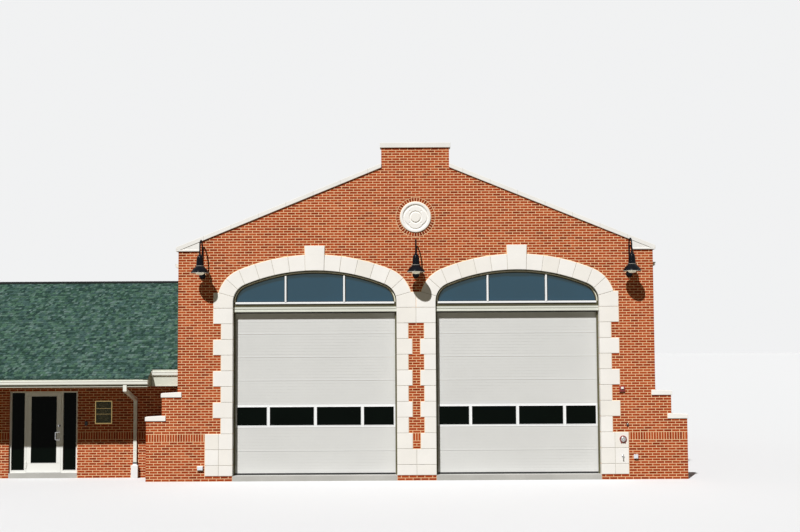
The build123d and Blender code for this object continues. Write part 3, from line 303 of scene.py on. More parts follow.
nodeLooks = {
    "mortar": "front_wall_left front_wall_centre front_wall_right front_arch_wall front_gable left_step_wall "
              "right_step_wall bay_left_wall bay_right_wall bay_rear_wall wing_front_wall_left "
              "wing_front_wall_right wing_door_lintel wing_gable_wall wing_rear_wall",
    "castStone": "left_jamb_stones centre_pier_stones right_jamb_stones left_arch_stones right_arch_stones "
                 "step_wall_caps medallion",
    "copingStone": "front_coping rear_coping",
    "concrete": "bay_floor wing_floor",
    "shingle": "bay_roof_left bay_roof_right wing_roof_front wing_roof_rear",
    "ridge": "ridge_caps",
    "creamMetal": "bay_gutters bay_downspouts wing_gutters wing_downspouts",
    "creamTrim": "wing_eaves wing_barge_boards",
    "whiteFrame": "door_window_frames transom_bars downspout_boots",
    "entrancePaint": "entrance_frame entrance_door_leaf",
    "doorSteel": "left_bay_door right_bay_door",
    "headerCream": "door_headers",
    "olive": "door_seals transom_frames",
    "transomGlass": "transom_glass",
    "darkGlass": "door_window_glass sidelight_glass entrance_door_glass",
    "lampBlack": "lamp_brackets left_lamp_shade centre_lamp_shade right_lamp_shade",
    "steel": "entrance_door_pull",
    "brass": "plaque",
    "alarmRed": "fire_bell",
    "greyBox": "wall_fittings",
}
softEdges = {"castStone": .006, "copingStone": .008, "whiteFrame": .003, "entrancePaint": .003,
             "headerCream": .004, "olive": .003, "greyBox": .004, "brass": .003, "creamTrim": .003,
             "creamMetal": .004, "steel": .002}
finishes = {}


def makeFinishes():
    for name, row in looks.items():
        finishes[name] = finish(name, *row[:6], **dict(*row[6:]))


def dressNodes():
    for look, names in nodeLooks.items():
        for name in names.split():
            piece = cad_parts[name]
            piece.data.materials.clear()
            piece.data.materials.append(finishes[look])
            if look in softEdges:
                soften(piece, softEdges[look], weld=True)


# tools for pieces
softening = {"segments": 2, "angle": 40, "weld": .0002, "flat": .2}


def soften(piece, width, weld=False):
    if weld:
        piece.modifiers.new("weld", "WELD").merge_threshold = softening["weld"]
        flat = piece.modifiers.new("flat", "DECIMATE")
        flat.decimate_type, flat.angle_limit = "DISSOLVE", math.radians(softening["flat"])
    bevel = piece.modifiers.new("bevel", "BEVEL")
    bevel.width, bevel.segments = width, softening["segments"]
    bevel.limit_method, bevel.angle_limit = "ANGLE", math.radians(softening["angle"])
    bevel.use_clamp_overlap = True
    piece.modifiers.new("normals", "WEIGHTED_NORMAL").keep_sharp = True


class Shape:
    # Points and faces of one piece, in building lengths
    def __init__(self):
        self.points, self.faces = [], []

    def ring(self, points):
        first = len(self.points)
        self.points += [tuple(p) for p in points]
        return list(range(first, first + len(points)))

    def bridge(self, low, high):
        for i, a in enumerate(low):
            j = (i + 1) % len(low)
            self.faces.append((a, low[j], high[j], high[i]))

    def box(self, *sides):
        (x0, x1), (y0, y1), (z0, z1) = (sorted(side) for side in sides)
        self.loft([[(x0, y0, z), (x1, y0, z), (x1, y1, z), (x0, y1, z)] for z in (z0, z1)])

    def frame(self, x, y, z, width):
        # a flat rectangular frame that faces the front, its width measured inwards
        for low in (z[0], z[1] - width):
            self.box(x, y, (low, low + width))
        for left in (x[0], x[1] - width):
            self.box((left, left + width), y, (z[0] + width, z[1] - width))

    def loft(self, rings, caps=True):
        # closed rings joined one after another
        made = [self.ring(points) for points in rings]
        for low, high in zip(made, made[1:]):
            self.bridge(low, high)
        if caps:
            self.faces += [tuple(reversed(made[0])), tuple(made[-1])]

    def turned(self, centre, profile, steps=32, capped=True, axis=(0, 0, 1)):
        # a profile of (radius, height) turned round an axis through centre
        along = Vector(axis)
        across = along.orthogonal().normalized()
        other = along.cross(across)
        self.loft([[Vector(centre) + along * height + (across * math.cos(a) + other * math.sin(a)) * radius
                    for a in turns(steps)] for radius, height in profile], capped)

    def knob(self, centre, profile, steps):
        # turned, with its axis pointing off the front
        self.turned(centre, profile, steps, axis=(0, -1, 0))

    def tube(self, path, radius, steps=12):
        path = [Vector(p) for p in path]
        rings, side = [], None
        for i, point in enumerate(path):
            ahead = (path[min(i + 1, len(path) - 1)] - path[max(i - 1, 0)]).normalized()
            side = ahead.orthogonal() if side is None else side - ahead * side.dot(ahead)
            side = side.normalized()
            other = ahead.cross(side)
            rings.append([point + (side * math.cos(a) + other * math.sin(a)) * radius for a in turns(steps)])
        self.loft(rings)

    def piece(self, name, look, slotName, body="building", edge=0, smooth=None, standsFor=()):
        mesh = bpy.data.meshes.new(name)
        mesh.from_pydata(self.points, [], self.faces)
        mesh.materials.append(finishes[look])
        if smooth is not None:
            mesh.shade_smooth()
            mesh.set_sharp_from_angle(angle=math.radians(smooth))
        made = linked(name, mesh)
        made.location = zero
        if edge:
            soften(made, edge)
        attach(made, body)
        if standsFor:
            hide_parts(*standsFor)


def shapes(count):
    return [Shape() for _ in range(count)]


# brickwork
brickwork = {"joint": .0136, "proud": .0020, "bevel": .0018, "wobble": .0006, "buried": .002,
             "soldierFrom": 13, "soldierTo": 16, "smallest": .0005, "narrowest": .018, "seed": 20}
proud, halfJoint = brickwork["proud"], brickwork["joint"] / 2


def clipLine(shape, across, up, limit):
    # keeps the part of a flat outline where across * u + up * v is at most limit
    kept = []
    for here, after in zip(shape, shape[1:] + shape[:1]):
        a = across * here[0] + up * here[1] - limit
        b = across * after[0] + up * after[1] - limit
        if a <= 0:
            kept.append(here)
        if a * b < 0:
            share = a / (a - b)
            kept.append((here[0] + share * (after[0] - here[0]), here[1] + share * (after[1] - here[1])))
    return kept


def below(shape, slope, level):
    # keeps what is under a slanted line, whose height at u = 0 is the level
    return clipLine(shape, -slope, 1, level)


def above(shape, slope, level):
    return clipLine(shape, slope, -1, -level)


def clipRound(shape, centre, radius):
    # keeps the part of a flat outline outside a circle
    def gap(p):
        return math.hypot(p[0] - centre[0], p[1] - centre[1]) - radius

    gaps = [gap(p) for p in shape]
    if min(gaps) >= 0:
        return shape
    if max(gaps) <= 0:
        return []
    kept, entry = [], None
    for i, here in enumerate(shape):
        j = (i + 1) % len(shape)
        after, a, b = shape[j], gaps[i], gaps[j]
        if a >= 0:
            kept.append(here)
        if a * b < 0:
            low, high = 0.0, 1.0
            for _ in range(18):
                half = (low + high) / 2
                at = (here[0] + half * (after[0] - here[0]), here[1] + half * (after[1] - here[1]))
                if gap(at) * a > 0:
                    low = half
                else:
                    high = half
            kept.append(at)
            if a > 0:
                entry = len(kept) - 1
    if entry is None:
        return kept
    start, end = kept[entry], kept[(entry + 1) % len(kept)]
    first = math.atan2(start[1] - centre[1], start[0] - centre[0])
    turn = math.atan2(end[1] - centre[1], end[0] - centre[0]) - first
    turn = (turn + math.pi) % (2 * math.pi) - math.pi
    between = [(centre[0] + radius * math.cos(a), centre[1] + radius * math.sin(a))
               for a in (first + turn * .33, first + turn * .67)]
    return kept[:entry + 1] + between + kept[entry + 1:]


def areaOf(shape):
    return sum(p[0] * q[1] - q[0] * p[1] for p, q in zip(shape, shape[1:] + shape[:1])) / 2


def centreOf(shape):
    return (sum(p[0] for p in shape) / len(shape), sum(p[1] for p in shape) / len(shape))


def mirrored(shape):
    return [(-u, v) for u, v in reversed(shape)]


def shrunk(shape, inset):
    made = []
    for i, here in enumerate(shape):
        here, before, after = Vector(here), Vector(shape[i - 1]), Vector(shape[(i + 1) % len(shape)])
        first, second = (here - before).normalized(), (after - here).normalized()
        inward = Vector((-first.y - second.y, first.x + second.x))
        if min((here - before).length, (after - here).length, inward.length) > 1e-6:
            inward.normalize()
            here = here + inward * (inset / max(.45, inward.dot(Vector((-first.y, first.x)))))
        made.append(here)
    return made


class Wall:
    # One face of brickwork: u runs along it from the corner, v is the height and out points off it
    def __init__(self, corner, along, seed, shape=None):
        self.corner, self.along, self.up = Vector(corner), Vector(along), Vector((0, 0, 1))
        self.out = self.along.cross(self.up)
        self.sign = sum(along)      # -1 where u runs against the axis, which spans and cuts follow
        self.shape = shape or Shape()
        self.random = random.Random(brickwork["seed"] + seed)

    def brick(self, outline):
        if len(outline) < 3 or areaOf(outline) < brickwork["smallest"]:
            return
        front = proud + self.random.uniform(-1, 1) * brickwork["wobble"]
        bevel = brickwork["bevel"]
        face, edge, back = (
            self.shape.ring([self.corner + self.along * u + self.up * v + self.out * depth for u, v in line])
            for line, depth in ((shrunk(outline, bevel), front), (outline, front - bevel * .8),
                                (outline, -brickwork["buried"])))
        self.shape.faces.append(tuple(face))
        self.shape.bridge(edge, face)
        self.shape.bridge(back, edge)

    def lay(self, first, last, spans, cuts=()):
        soldierFrom, soldierTo = brickwork["soldierFrom"], brickwork["soldierTo"]
        for i in range(first, last):
            if soldierFrom < i < soldierTo:
                continue
            low, high = i * course + halfJoint, (i + 1) * course - halfJoint
            pitch, shift = module, module / 2 * (i % 2)
            if i == soldierFrom:
                high = soldierTo * course - halfJoint
                pitch, shift = course, 0
            for ends in spans(i):
                start, end = sorted(self.sign * u for u in ends)
                k = math.floor((start - shift) / pitch - .5)
                while k * pitch + shift < end:
                    u0, u1 = k * pitch + shift + halfJoint, (k + 1) * pitch + shift - halfJoint
                    k += 1
                    if u0 - start < halfJoint * 2.4:
                        u0 = start
                    if end - u1 < halfJoint * 2.4:
                        u1 = end
                    if u1 <= start or u0 >= end or u1 - u0 < brickwork["narrowest"]:
                        continue
                    outline = [(u0, low), (u1, low), (u1, high), (u0, high)]
                    for cut in cuts:
                        outline = cut(outline) if self.sign > 0 else mirrored(cut(mirrored(outline)))
                        if len(outline) < 3:
                            break
                    self.brick(outline)
        return self.shape


medallion = {"face": .002, "height": 6.700, "radius": .4065, "ringBricks": 42, "ringDepth": .092, "gap": .010,
             "ringJoint": .0125, "rim": .066, "cove": .030, "relief": .030, "lobes": 4, "lobe": .220,
             "lobeAt": .085, "lobeRelief": .018, "boss": .135, "bossRelief": .024, "groove": .022,
             "pitAt": .215, "pit": .022, "pitDepth": .014, "rings": 60, "spokes": 144, "depth": .02,
             "rimFade": .006, "edgeFade": .010, "edgeFall": .8, "lobeFade": (-.012, .003),
             "grooveFade": .010, "pitCore": .004, "bossFade": (-.010, .002)}


def cutArches(outline):
    joint = brickwork["joint"]
    for centre in archCentres:
        offset, height = centreOf(outline)
        offset -= centre
        if abs(offset) > openingWidth / 2 + 3 * module:
            continue
        if abs(offset) < (arch["mainRadius"] + arch["ring"]) * math.cos(archTurn):
            outline = clipRound(outline, (centre, mainCentre), arch["mainRadius"] + arch["ring"] + joint)
        else:
            corner = (centre + math.copysign(cornerOffset, offset), springing)
            outline = clipRound(outline, corner, arch["cornerRadius"] + arch["ring"] + joint)
        if len(outline) > 2 and abs(offset) < .5 and crown < height < crown + arch["keystoneHeight"]:
            foot, head = arch["keystoneFoot"] / 2 + joint, arch["keystoneTop"] / 2 + joint
            lean = (head - foot) / arch["keystoneHeight"]
            side = 1 if offset > 0 else -1
            # beyond the keystone's slanted side
            outline = clipLine(outline, -side, lean, -side * centre - foot + lean * crown)
        if len(outline) < 3:
            return []
    return outline


def cutMedallion(outline):
    radius = medallion["radius"] + medallion["ringDepth"] + 2 * medallion["gap"]
    return clipRound(outline, (middle, medallion["height"]), radius)


def gableLine(u, edge):
    # slope and height at u = 0 of a line up the gable that starts at the edge's height
    slope = gable["slope"]
    return (slope, edge) if u < middle else (-slope, edge + slope * frontWidth)


def cutGable(outline):
    u, v = centreOf(outline)
    if v < gable["kneelerFoot"] or blockLeft < u < frontWidth - blockLeft:
        return outline
    return below(outline, *gableLine(u, gable["edge"] - gable["coping"] - .004))


steps = {"width": 2 * module, "upper": 30, "lower": 21, "capCourses": 2, "inset": .102}
# courses of the stones at the jambs and the pier
stones = {"foot": 16, "pierFoot": 10, "pierHead": 58, "clear": 70, "tooth": 6}


def stepEdge(i):
    # where a course starts, counted from the bay's left corner
    step, caps, capped = steps["width"], steps["capCourses"], steps["inset"] + halfJoint
    zones = ((steps["lower"], -2 * step - proud), (steps["lower"] + caps, capped - step),
             (steps["upper"], -step - proud), (steps["upper"] + caps, capped))
    return next((edge for end, edge in zones if i < end), -proud)


def bothSides(start, end):
    return [(start, end), (frontWidth - end, frontWidth - start)]


def parapetSpans(i):
    inset = 0 if i < rows["kneeler"] else gable["kneelerIn"] if i < rows["block"] else blockLeft - proud
    return [(inset, frontWidth - inset)]


def frontSpans(i):
    if i >= rows["block"]:
        return parapetSpans(i)
    if i >= rows["kneeler"]:
        return [grown((gable["kneelerIn"], frontWidth - gable["kneelerIn"]), -halfJoint)]
    start, pier = stepEdge(i), margin + openingWidth
    if i >= stones["clear"]:
        return [(start, frontWidth - start)]
    if i < 0:
        return bothSides(start, margin - halfJoint) + [(pier + halfJoint, middle + pierWidth / 2 - halfJoint)]
    # widths of the jamb and pier stones, in bricks
    stone, pierStone = 3.5, 2.5
    if stones["pierFoot"] <= i < stones["foot"]:
        pierStone = 2
    elif i >= stones["foot"]:
        long = (i - stones["foot"]) // stones["tooth"] % 2
        stone = 2.5 if long else 1.5
        pierStone = 2.5 if i >= stones["pierHead"] else 2 if long else 1.5
    spans = bothSides(start, margin - stone * module - halfJoint)
    if pierStone < 2.5:
        inner = pier + pierStone * module + halfJoint
        spans.append((inner, frontWidth - inner))
    return spans


def rearSpans(i):
    return frontSpans(i) if i >= rows["kneeler"] else [(-proud, frontWidth + proud)]


def sideSpans(i):
    return [(wallThick if i < steps["upper"] + steps["capCourses"] else 0, bayBack)]


def cutSideTop(outline):
    # the side walls are higher at the two parapets
    y = centreOf(outline)[0]
    parapet = y < bayRoof["front"] or y > bayRoof["back"]
    top = gable["kneelerFoot"] if parapet else bayRoof["eave"] - bayRoof["thickness"]
    return below(outline, 0, top - .003)


def cutWingAway(outline):
    # leaves out what the wing covers of the bay's left wall
    y, v = centreOf(outline)
    if y < notchY or y > rearEaveY:
        return outline
    if v > wingTop(y):
        return above(outline, wingSlope(y), wingTop(y) - wingSlope(y) * y + .012)
    if v < soffit and not wingFront < y < wingBack:
        return below(outline, 0, soffit - .003)
    return []


def cutParapetBack(outline):
    outline = above(outline, *gableLine(centreOf(outline)[0], bayRoof["eave"] + .01))
    return cutGable(outline) if len(outline) > 2 else outline


def makeMedallionRing():
    wall = Wall((0, 0, 0), (1, 0, 0), 9)
    count, inner = medallion["ringBricks"], medallion["radius"] + medallion["gap"]
    outer = inner + medallion["ringDepth"]
    for k in range(count):
        turn = 2 * math.pi * (k + .5) / count
        cos, sin = math.cos(turn), math.sin(turn)
        outline = []
        for r, side in ((inner, -1), (outer, -1), (outer, 1), (inner, 1)):
            half = side * (math.pi * r / count - medallion["ringJoint"] / 2)
            outline.append((middle + cos * r - sin * half, medallion["height"] + sin * r + cos * half))
        wall.brick(outline)
    wall.shape.piece("medallion_ring_bricks", "ringBrick", "brick")


def makeBayBricks():
    foot, kneeler, top = rows["foot"], rows["kneeler"], rows["top"]
    front = Wall((0, 0, 0), (1, 0, 0), 1).lay(foot, top, frontSpans, (cutArches, cutMedallion, cutGable))
    front.piece("front_bricks", "brick", "brick")
    makeMedallionRing()
    right = Wall((frontWidth, 0, 0), (0, 1, 0), 2).lay(foot, kneeler, sideSpans, (cutSideTop,))
    right.piece("right_side_bricks", "brick", "brick")
    left = Wall((0, 0, 0), (0, -1, 0), 3).lay(foot, kneeler, sideSpans, (cutWingAway, cutSideTop))
    left.piece("left_side_bricks", "brick", "brick")
    rear = Wall((0, bayBack, 0), (-1, 0, 0), 4).lay(foot, top, rearSpans, (cutGable,))
    rear.piece("rear_bricks", "brick", "brick")


def makeReturnBricks():
    # ends of the step walls and raised blocks, and the backs of step walls and parapets
    shape = Shape()
    step, lower, upper, foot = steps["width"], steps["lower"], steps["upper"], rows["foot"]
    ends = [(0, 2 * step, foot, lower), (0, step, lower + steps["capCourses"], upper)]
    ends += [(y, -blockLeft, rows["block"] + 1, rows["top"]) for y in (0, bayBack - wallThick)]
    faces = []
    for y, reach, low, high in ends:
        faces.append(((-reach, y, 0), (0, -1, 0), low, high, lambda i: [(0, wallThick)]))
        faces.append(((frontWidth + reach, y, 0), (0, 1, 0), low, high, lambda i: [(0, wallThick)]))
    faces.append(((0, wallThick, 0), (-1, 0, 0), foot, upper, lambda i: [(stepEdge(i), 0)]))
    faces.append(((frontWidth + 2 * step, wallThick, 0), (-1, 0, 0), foot, upper,
                  lambda i: [(-2 * step, -stepEdge(i) - 2 * step)]))
    for index, (corner, along, low, high, spans) in enumerate(faces):
        Wall(corner, along, 10 + index, shape).lay(low, high, spans)
    for seed, y, sign in ((30, wallThick, -1), (31, bayBack - wallThick, 1)):
        Wall((0, y, 0), (sign, 0, 0), seed, shape).lay(rows["kneeler"] - 2, rows["top"], parapetSpans,
                                                       (cutParapetBack,))
    shape.piece("return_bricks", "brick", "brick")


(entranceLeft, _, _), (entranceRight, _, _) = solid("entrance_frame")
entrance = {"head": 32, "reveal": .060, "front": wingFront + .060}
wingRows = {"top": 35, "gableTop": 74}


def makeWingBricks():
    foot, top = rows["foot"], wingRows["top"]

    def wingSpans(i):
        if i >= entrance["head"]:
            return [(wingLeft - proud, 0)]
        lap = proud if i >= 0 else 0
        return [(wingLeft - proud, entranceLeft + lap), (entranceRight - lap, 0)]

    def underSoffit(outline):
        return below(outline, 0, soffit - .003)

    def underRake(outline):
        y = centreOf(outline)[0]
        return below(outline, wingSlope(y), wingTop(y) - wingRoof["thickness"] - wingSlope(y) * y - .004)

    front = Wall((0, wingFront, 0), (1, 0, 0), 5).lay(foot, top, wingSpans, (underSoffit,))
    for x, sign in ((entranceLeft, 1), (entranceRight, -1)):
        reveal = Wall((x, wingFront, 0), (0, sign, 0), 6, front)
        reveal.lay(0, entrance["head"], lambda i: [(0, entrance["reveal"] - .004)])
    front.piece("wing_front_bricks", "brick", "brick")
    side = Wall((wingLeft, 0, 0), (0, -1, 0), 7)
    side.lay(foot, wingRows["gableTop"], lambda i: [(wingFront, wingBack)], (underRake,))
    side.shape.piece("wing_gable_bricks", "brick", "brick")
    rear = Wall((0, wingBack, 0), (-1, 0, 0), 8)
    rear.lay(foot, top, lambda i: [(wingLeft - proud, 0)], (underSoffit,))
    rear.shape.piece("wing_rear_bricks", "brick", "brick")


# shingled roofs
shingles = {"exposure": .143, "lap": .030, "narrow": .046, "wide": .125, "thin": .0045, "thick": .0095,
            "head": .0012, "uneven": .0012, "rest": .001, "drop": .006, "overhang": .020, "rake": .025,
            "seed": 5}


def layShingles(name, corner, along, up, length, spans, seed):
    # corner: lowest left point; along the eave; up the slope; spans gives each row's stretches
    shape, draw = Shape(), random.Random(shingles["seed"] + seed)
    corner, along, up = Vector(corner), Vector(along), Vector(up).normalized()
    out = along.cross(up).normalized()
    exposure, head = shingles["exposure"], shingles["head"]
    for row in range(math.ceil(length / exposure)):
        low = row * exposure
        high = min(low + exposure + shingles["lap"], length)
        for start, end in spans(low):
            a = start
            while a < end - shingles["rest"]:
                width = draw.uniform(shingles["narrow"], shingles["wide"])
                b = end if end - a - width < shingles["narrow"] else a + width
                butt = draw.choice((shingles["thin"], shingles["thick"]))
                butt += draw.uniform(0, shingles["uneven"])
                foot = low - draw.uniform(0, shingles["drop"])
                corners = [(a, foot, 0), (b, foot, 0), (b, high, 0), (a, high, 0),
                           (a, foot, butt), (b, foot, butt), (b, high, head), (a, high, head)]
                k = shape.ring([corner + along * p + up * q + out * r for p, q, r in corners])
                shape.faces += [(k[4], k[5], k[6], k[7]), (k[0], k[1], k[5], k[4]),
                                (k[1], k[2], k[6], k[5]), (k[3], k[0], k[4], k[7])]
                a = b
    shape.piece(name, "shingle", "shingles")


def makeRoofs():
    hang, slope, pitch = shingles["overhang"], gable["slope"], wingRoof["pitch"]
    front, back, low = bayRoof["front"], bayRoof["back"], bayRoof["eave"] - hang * slope
    rise, tilt = (middle + hang) * math.hypot(1, slope), math.hypot(1, pitch)
    left, run = rakeX - shingles["rake"], (wingRoof["ridgeY"] - eaveY) * tilt

    def bayStretch(s):
        return [(0, back - front)]

    def frontStretch(s):
        return [(0, (notchX if eaveY + s / tilt < notchY - hang else 0) - left)]

    roofs = (("bay_shingles_left", (-hang, back, low), (0, -1, 0), (1, 0, slope), rise, bayStretch),
             ("bay_shingles_right", (frontWidth + hang, front, low), (0, 1, 0), (-1, 0, slope), rise,
              bayStretch),
             ("wing_shingles_front", (left, eaveY, wingTop(eaveY)), (1, 0, 0), (0, 1, pitch), run,
              frontStretch),
             ("wing_shingles_rear", (0, rearEaveY, wingTop(rearEaveY)), (-1, 0, 0), (0, -1, pitch), run,
              lambda s: [(0, -left)]))
    for seed, roof in enumerate(roofs, 1):
        layShingles(*roof, seed)


ridgeTabs = {"reach": .152, "pitch": .145, "length": .30, "lift": .013, "tail": .0195, "thick": .006,
             "rake": .02}


def makeRidgeTabs():
    shape = Shape()
    reach, thick, left = ridgeTabs["reach"], ridgeTabs["thick"], rakeX - ridgeTabs["rake"]
    runs = [((middle, bayRoof["front"], bayRoof["eave"] + gable["slope"] * middle), (0, 1, 0), (1, 0, 0),
             gable["slope"], bayRoof["back"] - bayRoof["front"]),
            ((left, wingRoof["ridgeY"], wingRoof["ridge"]), (1, 0, 0), (0, 1, 0), wingRoof["pitch"], -left)]
    for start, along, across, slope, length in runs:
        start, along, across = Vector(start), Vector(along), Vector(across)
        for k in range(math.floor(length / ridgeTabs["pitch"])):
            a = k * ridgeTabs["pitch"]
            b = min(a + ridgeTabs["length"], length)
            rings = []
            for at, low in ((a, ridgeTabs["tail"]), (b, ridgeTabs["lift"])):
                high, fall = low + thick, slope * reach
                section = [(-reach, low - fall), (0, low), (reach, low - fall),
                           (reach, high - fall), (0, high), (-reach, high - fall)]
                rings.append([start + along * at + across * p + Vector((0, 0, q)) for p, q in section])
            shape.loft(rings)
    shape.piece("ridge_tabs", "ridge", "ridge_cap")


# gutters and downspouts
gutter = {"thick": .0025, "hangerPitch": .61, "hangerWidth": .022, "hangerThick": .003, "hangerReach": .93,
          "seamPitch": 3.05, "seamWidth": .04, "seamThick": .0015, "wingSize": (.130, .112), "wingDrop": .060,
          "baySize": (.125, .095), "notchLap": .106, "notchOver": .010, "boxLip": .032, "boxLipDepth": .008,
          "hangerDrop": .009}
# from the back's top edge down and across, in shares of width and height; then the curve, the face and lip
gutterLines = (((0, 1), (0, 0), (.74, 0), (.77, .03)),
               ((.93, .70), (.975, .73), (1, .77), (1, .985), (.985, 1), (.91, 1), (.91, .93)))


def gutterRun(shape, start, along, outward, length, width, height):
    start, along, outward = Vector(start), Vector(along), Vector(outward)
    thick = gutter["thick"]
    curve = [(.79 + .13 * math.sin(a), .05 + .15 * (1 - math.cos(a))) for a in turns(4, math.pi / 2, 1)]
    profile = [(p * width, q * height) for p, q in (*gutterLines[0], *curve, *gutterLines[1])]
    inner = []
    for i, (p, q) in enumerate(profile):
        before, after = profile[max(i - 1, 0)], profile[min(i + 1, len(profile) - 1)]
        run = Vector((after[0] - before[0], after[1] - before[1])).normalized()
        inner.append((p - run.y * thick, q + run.x * thick))

    def extrude(section, ends):
        shape.loft([[start + along * at + outward * p + Vector((0, 0, q)) for p, q in section]
                    for at in ends])

    extrude(profile + inner[::-1], (0, length))
    for at in (0, length - thick):
        extrude(profile[:-1], (at, at + thick))
    reach, top = width * gutter["hangerReach"], height - gutter["hangerDrop"]
    foot = top - gutter["hangerThick"]
    count = max(1, round(length / gutter["hangerPitch"]))
    for k in range(count):
        extrude([(thick, foot), (reach, foot), (reach, top), (thick, top)],
                span((k + .5) * length / count, gutter["hangerWidth"]))
    seams, more = int(length / gutter["seamPitch"]), gutter["seamThick"]
    lapped = [(p + (more if i > 1 else 0), q - (more if 0 < i < 4 else 0))
              for i, (p, q) in enumerate(profile[1:-2])]
    for k in range(seams):
        extrude(lapped, span((k + 1) * length / (seams + 1), gutter["seamWidth"]))


def makeGutters():
    boxY, foot, size = wingRoof["boxY"], soffit + .001, gutter["wingSize"]
    low, notchLow = (wingTop(y) - gutter["wingDrop"] - size[1] for y in (eaveY, notchY))
    # boxed eave under the short gutter beside the bay
    box, xs = Shape(), (notchX - .004, -.001)
    box.box(xs, (boxY, notchY + .002), (foot, notchLow - .001))
    box.box(xs, (boxY - gutter["boxLipDepth"], boxY + .002), (foot, foot + gutter["boxLip"]))
    box.piece("wing_boxed_eave", "creamTrim", "cream_trim", edge=.002)
    wing, bay = shapes(2)
    start = notchX - gutter["notchLap"]
    for corner, direction, length in (((rakeX, eaveY, low), 1, notchX + gutter["notchOver"] - rakeX),
                                      ((start, notchY, notchLow), 1, -start),
                                      ((0, rearEaveY, low), -1, -rakeX)):
        gutterRun(wing, corner, (direction, 0, 0), (0, -direction, 0), length, *size)
    wing.piece("wing_gutter_runs", "creamMetal", "cream_metal", smooth=30, standsFor=("wing_gutters",))
    size, front, back = gutter["baySize"], bayRoof["front"], bayRoof["back"]
    for x, y, direction in ((0, back, -1), (frontWidth, front, 1)):
        corner = (x, y, bayRoof["eave"] - size[1])
        gutterRun(bay, corner, (0, direction, 0), (direction, 0, 0), back - front, *size)
    bay.piece("bay_gutter_runs", "creamMetal", "cream_metal", smooth=30, standsFor=("bay_gutters",))


spouts = {"width": .094, "depth": .070, "strap": .028, "proud": .0035, "wingX": -1.300, "baySetback": .700,
          "wingStraps": (.62, 1.32, 1.90), "bayStraps": (.5, 2.2, 3.9, 5.1), "shortStraps": (5.0,),
          "ribDepths": (-.002, .003), "rib": .012,
          "ribs": (-.026, 0, .026), "wingRibs": (.30, 1.90), "bayRibs": (.02, 5.36),
          "band": .035, "bandProud": .012}


def makeSpoutDetails():
    straps, ribs, bands = shapes(3)
    width, depth, more = spouts["width"], spouts["depth"], spouts["proud"]
    near, far = (y + width / 2 for y in (bayRoof["front"] + spouts["baySetback"],
                                         bayRoof["back"] - spouts["baySetback"]))
    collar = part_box("downspout_boots")[1].z - zero.z - .004

    def offWall(shape, place, outward, out, across, z):
        # a box whose reach off the wall is out, and whose sides are across from its middle
        (x, y), (dx, dy) = place, outward
        side = [(y if dx else x) + s for s in across]
        away = [(x * abs(dx) + y * abs(dy)) + (dx + dy) * o for o in out]
        shape.box(*((away, side) if dx else (side, away)), z)

    wing, bay = (spouts["wingStraps"], spouts["wingRibs"]), (spouts["bayStraps"], spouts["bayRibs"])
    for place, outward, (heights, ribEnds) in (((spouts["wingX"], wingFront), (0, -1), wing),
                                               ((spouts["wingX"], wingBack), (0, 1), wing),
                                               ((0, near), (-1, 0), (spouts["shortStraps"], None)),
                                               ((0, far), (-1, 0), bay), ((frontWidth, near), (1, 0), bay),
                                               ((frontWidth, far), (1, 0), bay)):
        sides = span(0, width)
        for z in heights:
            offWall(straps, place, outward, (0, depth + more), grown(sides, more), span(z, spouts["strap"]))
        for offset in spouts["ribs"] if ribEnds else ():
            offWall(ribs, place, outward, off(depth, spouts["ribDepths"]),
                    span(offset, spouts["rib"]), ribEnds)
        if place[0] == spouts["wingX"]:
            offWall(bands, place, outward, (0, depth + spouts["bandProud"]),
                    grown(sides, spouts["bandProud"]), (collar, collar + spouts["band"]))
    straps.piece("downspout_straps", "creamMetal", "cream_metal", edge=.0015)
    ribs.piece("downspout_ribs", "creamMetal", "cream_metal", edge=.002)
    bands.piece("downspout_bands", "blackRubber", "lamp_black", edge=.003)


# doors and transoms
(_, headerFront, headerFoot), (_, _, headerTop) = solid("door_headers")
transom = {"front": .095, "sill": springing - .052, "sillHeight": .052, "frame": .072, "mullion": .050,
           "mullionAt": .765, "nosing": .034, "cover": .045, "coverWidth": .042, "gasket": (.018, .034),
           "gasketWidth": .014, "gasketSide": .012, "lap": .002}
transomSillTop = transom["sill"] + transom["sillHeight"]
# piece, finish, slot, softening, insets of both sides, foot and depths off the frame's front
transomStrips = (
    ("transom_beads", "oliveBead", "olive_frame", .002, (.026, .052), transomSillTop, (-.006, .004)),
    # painted shade: a dark strip along the stone's edge stands for the shadow line there
    ("transom_outer_strips", "oliveDark", "olive_frame", .001, (.006, .024), headerTop + .002, (-.003, .004)),
    ("transom_gaskets", "blackRubber", "lamp_black", 0, (.071, .085), transomSillTop, transom["gasket"]),
    ("transom_joints", "sealant", "olive_frame", 0, (-.002, .006), headerTop, (-.010, .004)))
door = {"sections": 7, "section": (headerFoot + .033) / 7, "windowSection": 2, "lightFoot": .060,
        "lightHeight": .475, "face": .254, "seal": .045, "rail": .041, "muntin": .078, "outerLight": .780,
        "stop": .010, "stopOver": .011, "stopDepths": (-.006, .012), "gasket": .006,
        "gasketDepths": (.004, .020), "lip": (.001, .012), "lipDepths": (-.0035, .004),
        "footSeals": (((-.012, .040), (.001, .028)), ((-.006, .010), (.028, .046)))}
# heights off the header's top or foot, and depths off its front or the door's
header = {"inset": .008, "topRib": (-.044, -.004), "footRib": (.004, .050), "groove": (.064, .073),
          "topDepths": (-.005, .002), "footDepths": (-.007, .002), "grooveDepths": (-.002, .002),
          "seal": (-.030, .004), "sealDepths": (-.014, .002), "sealInset": .045}


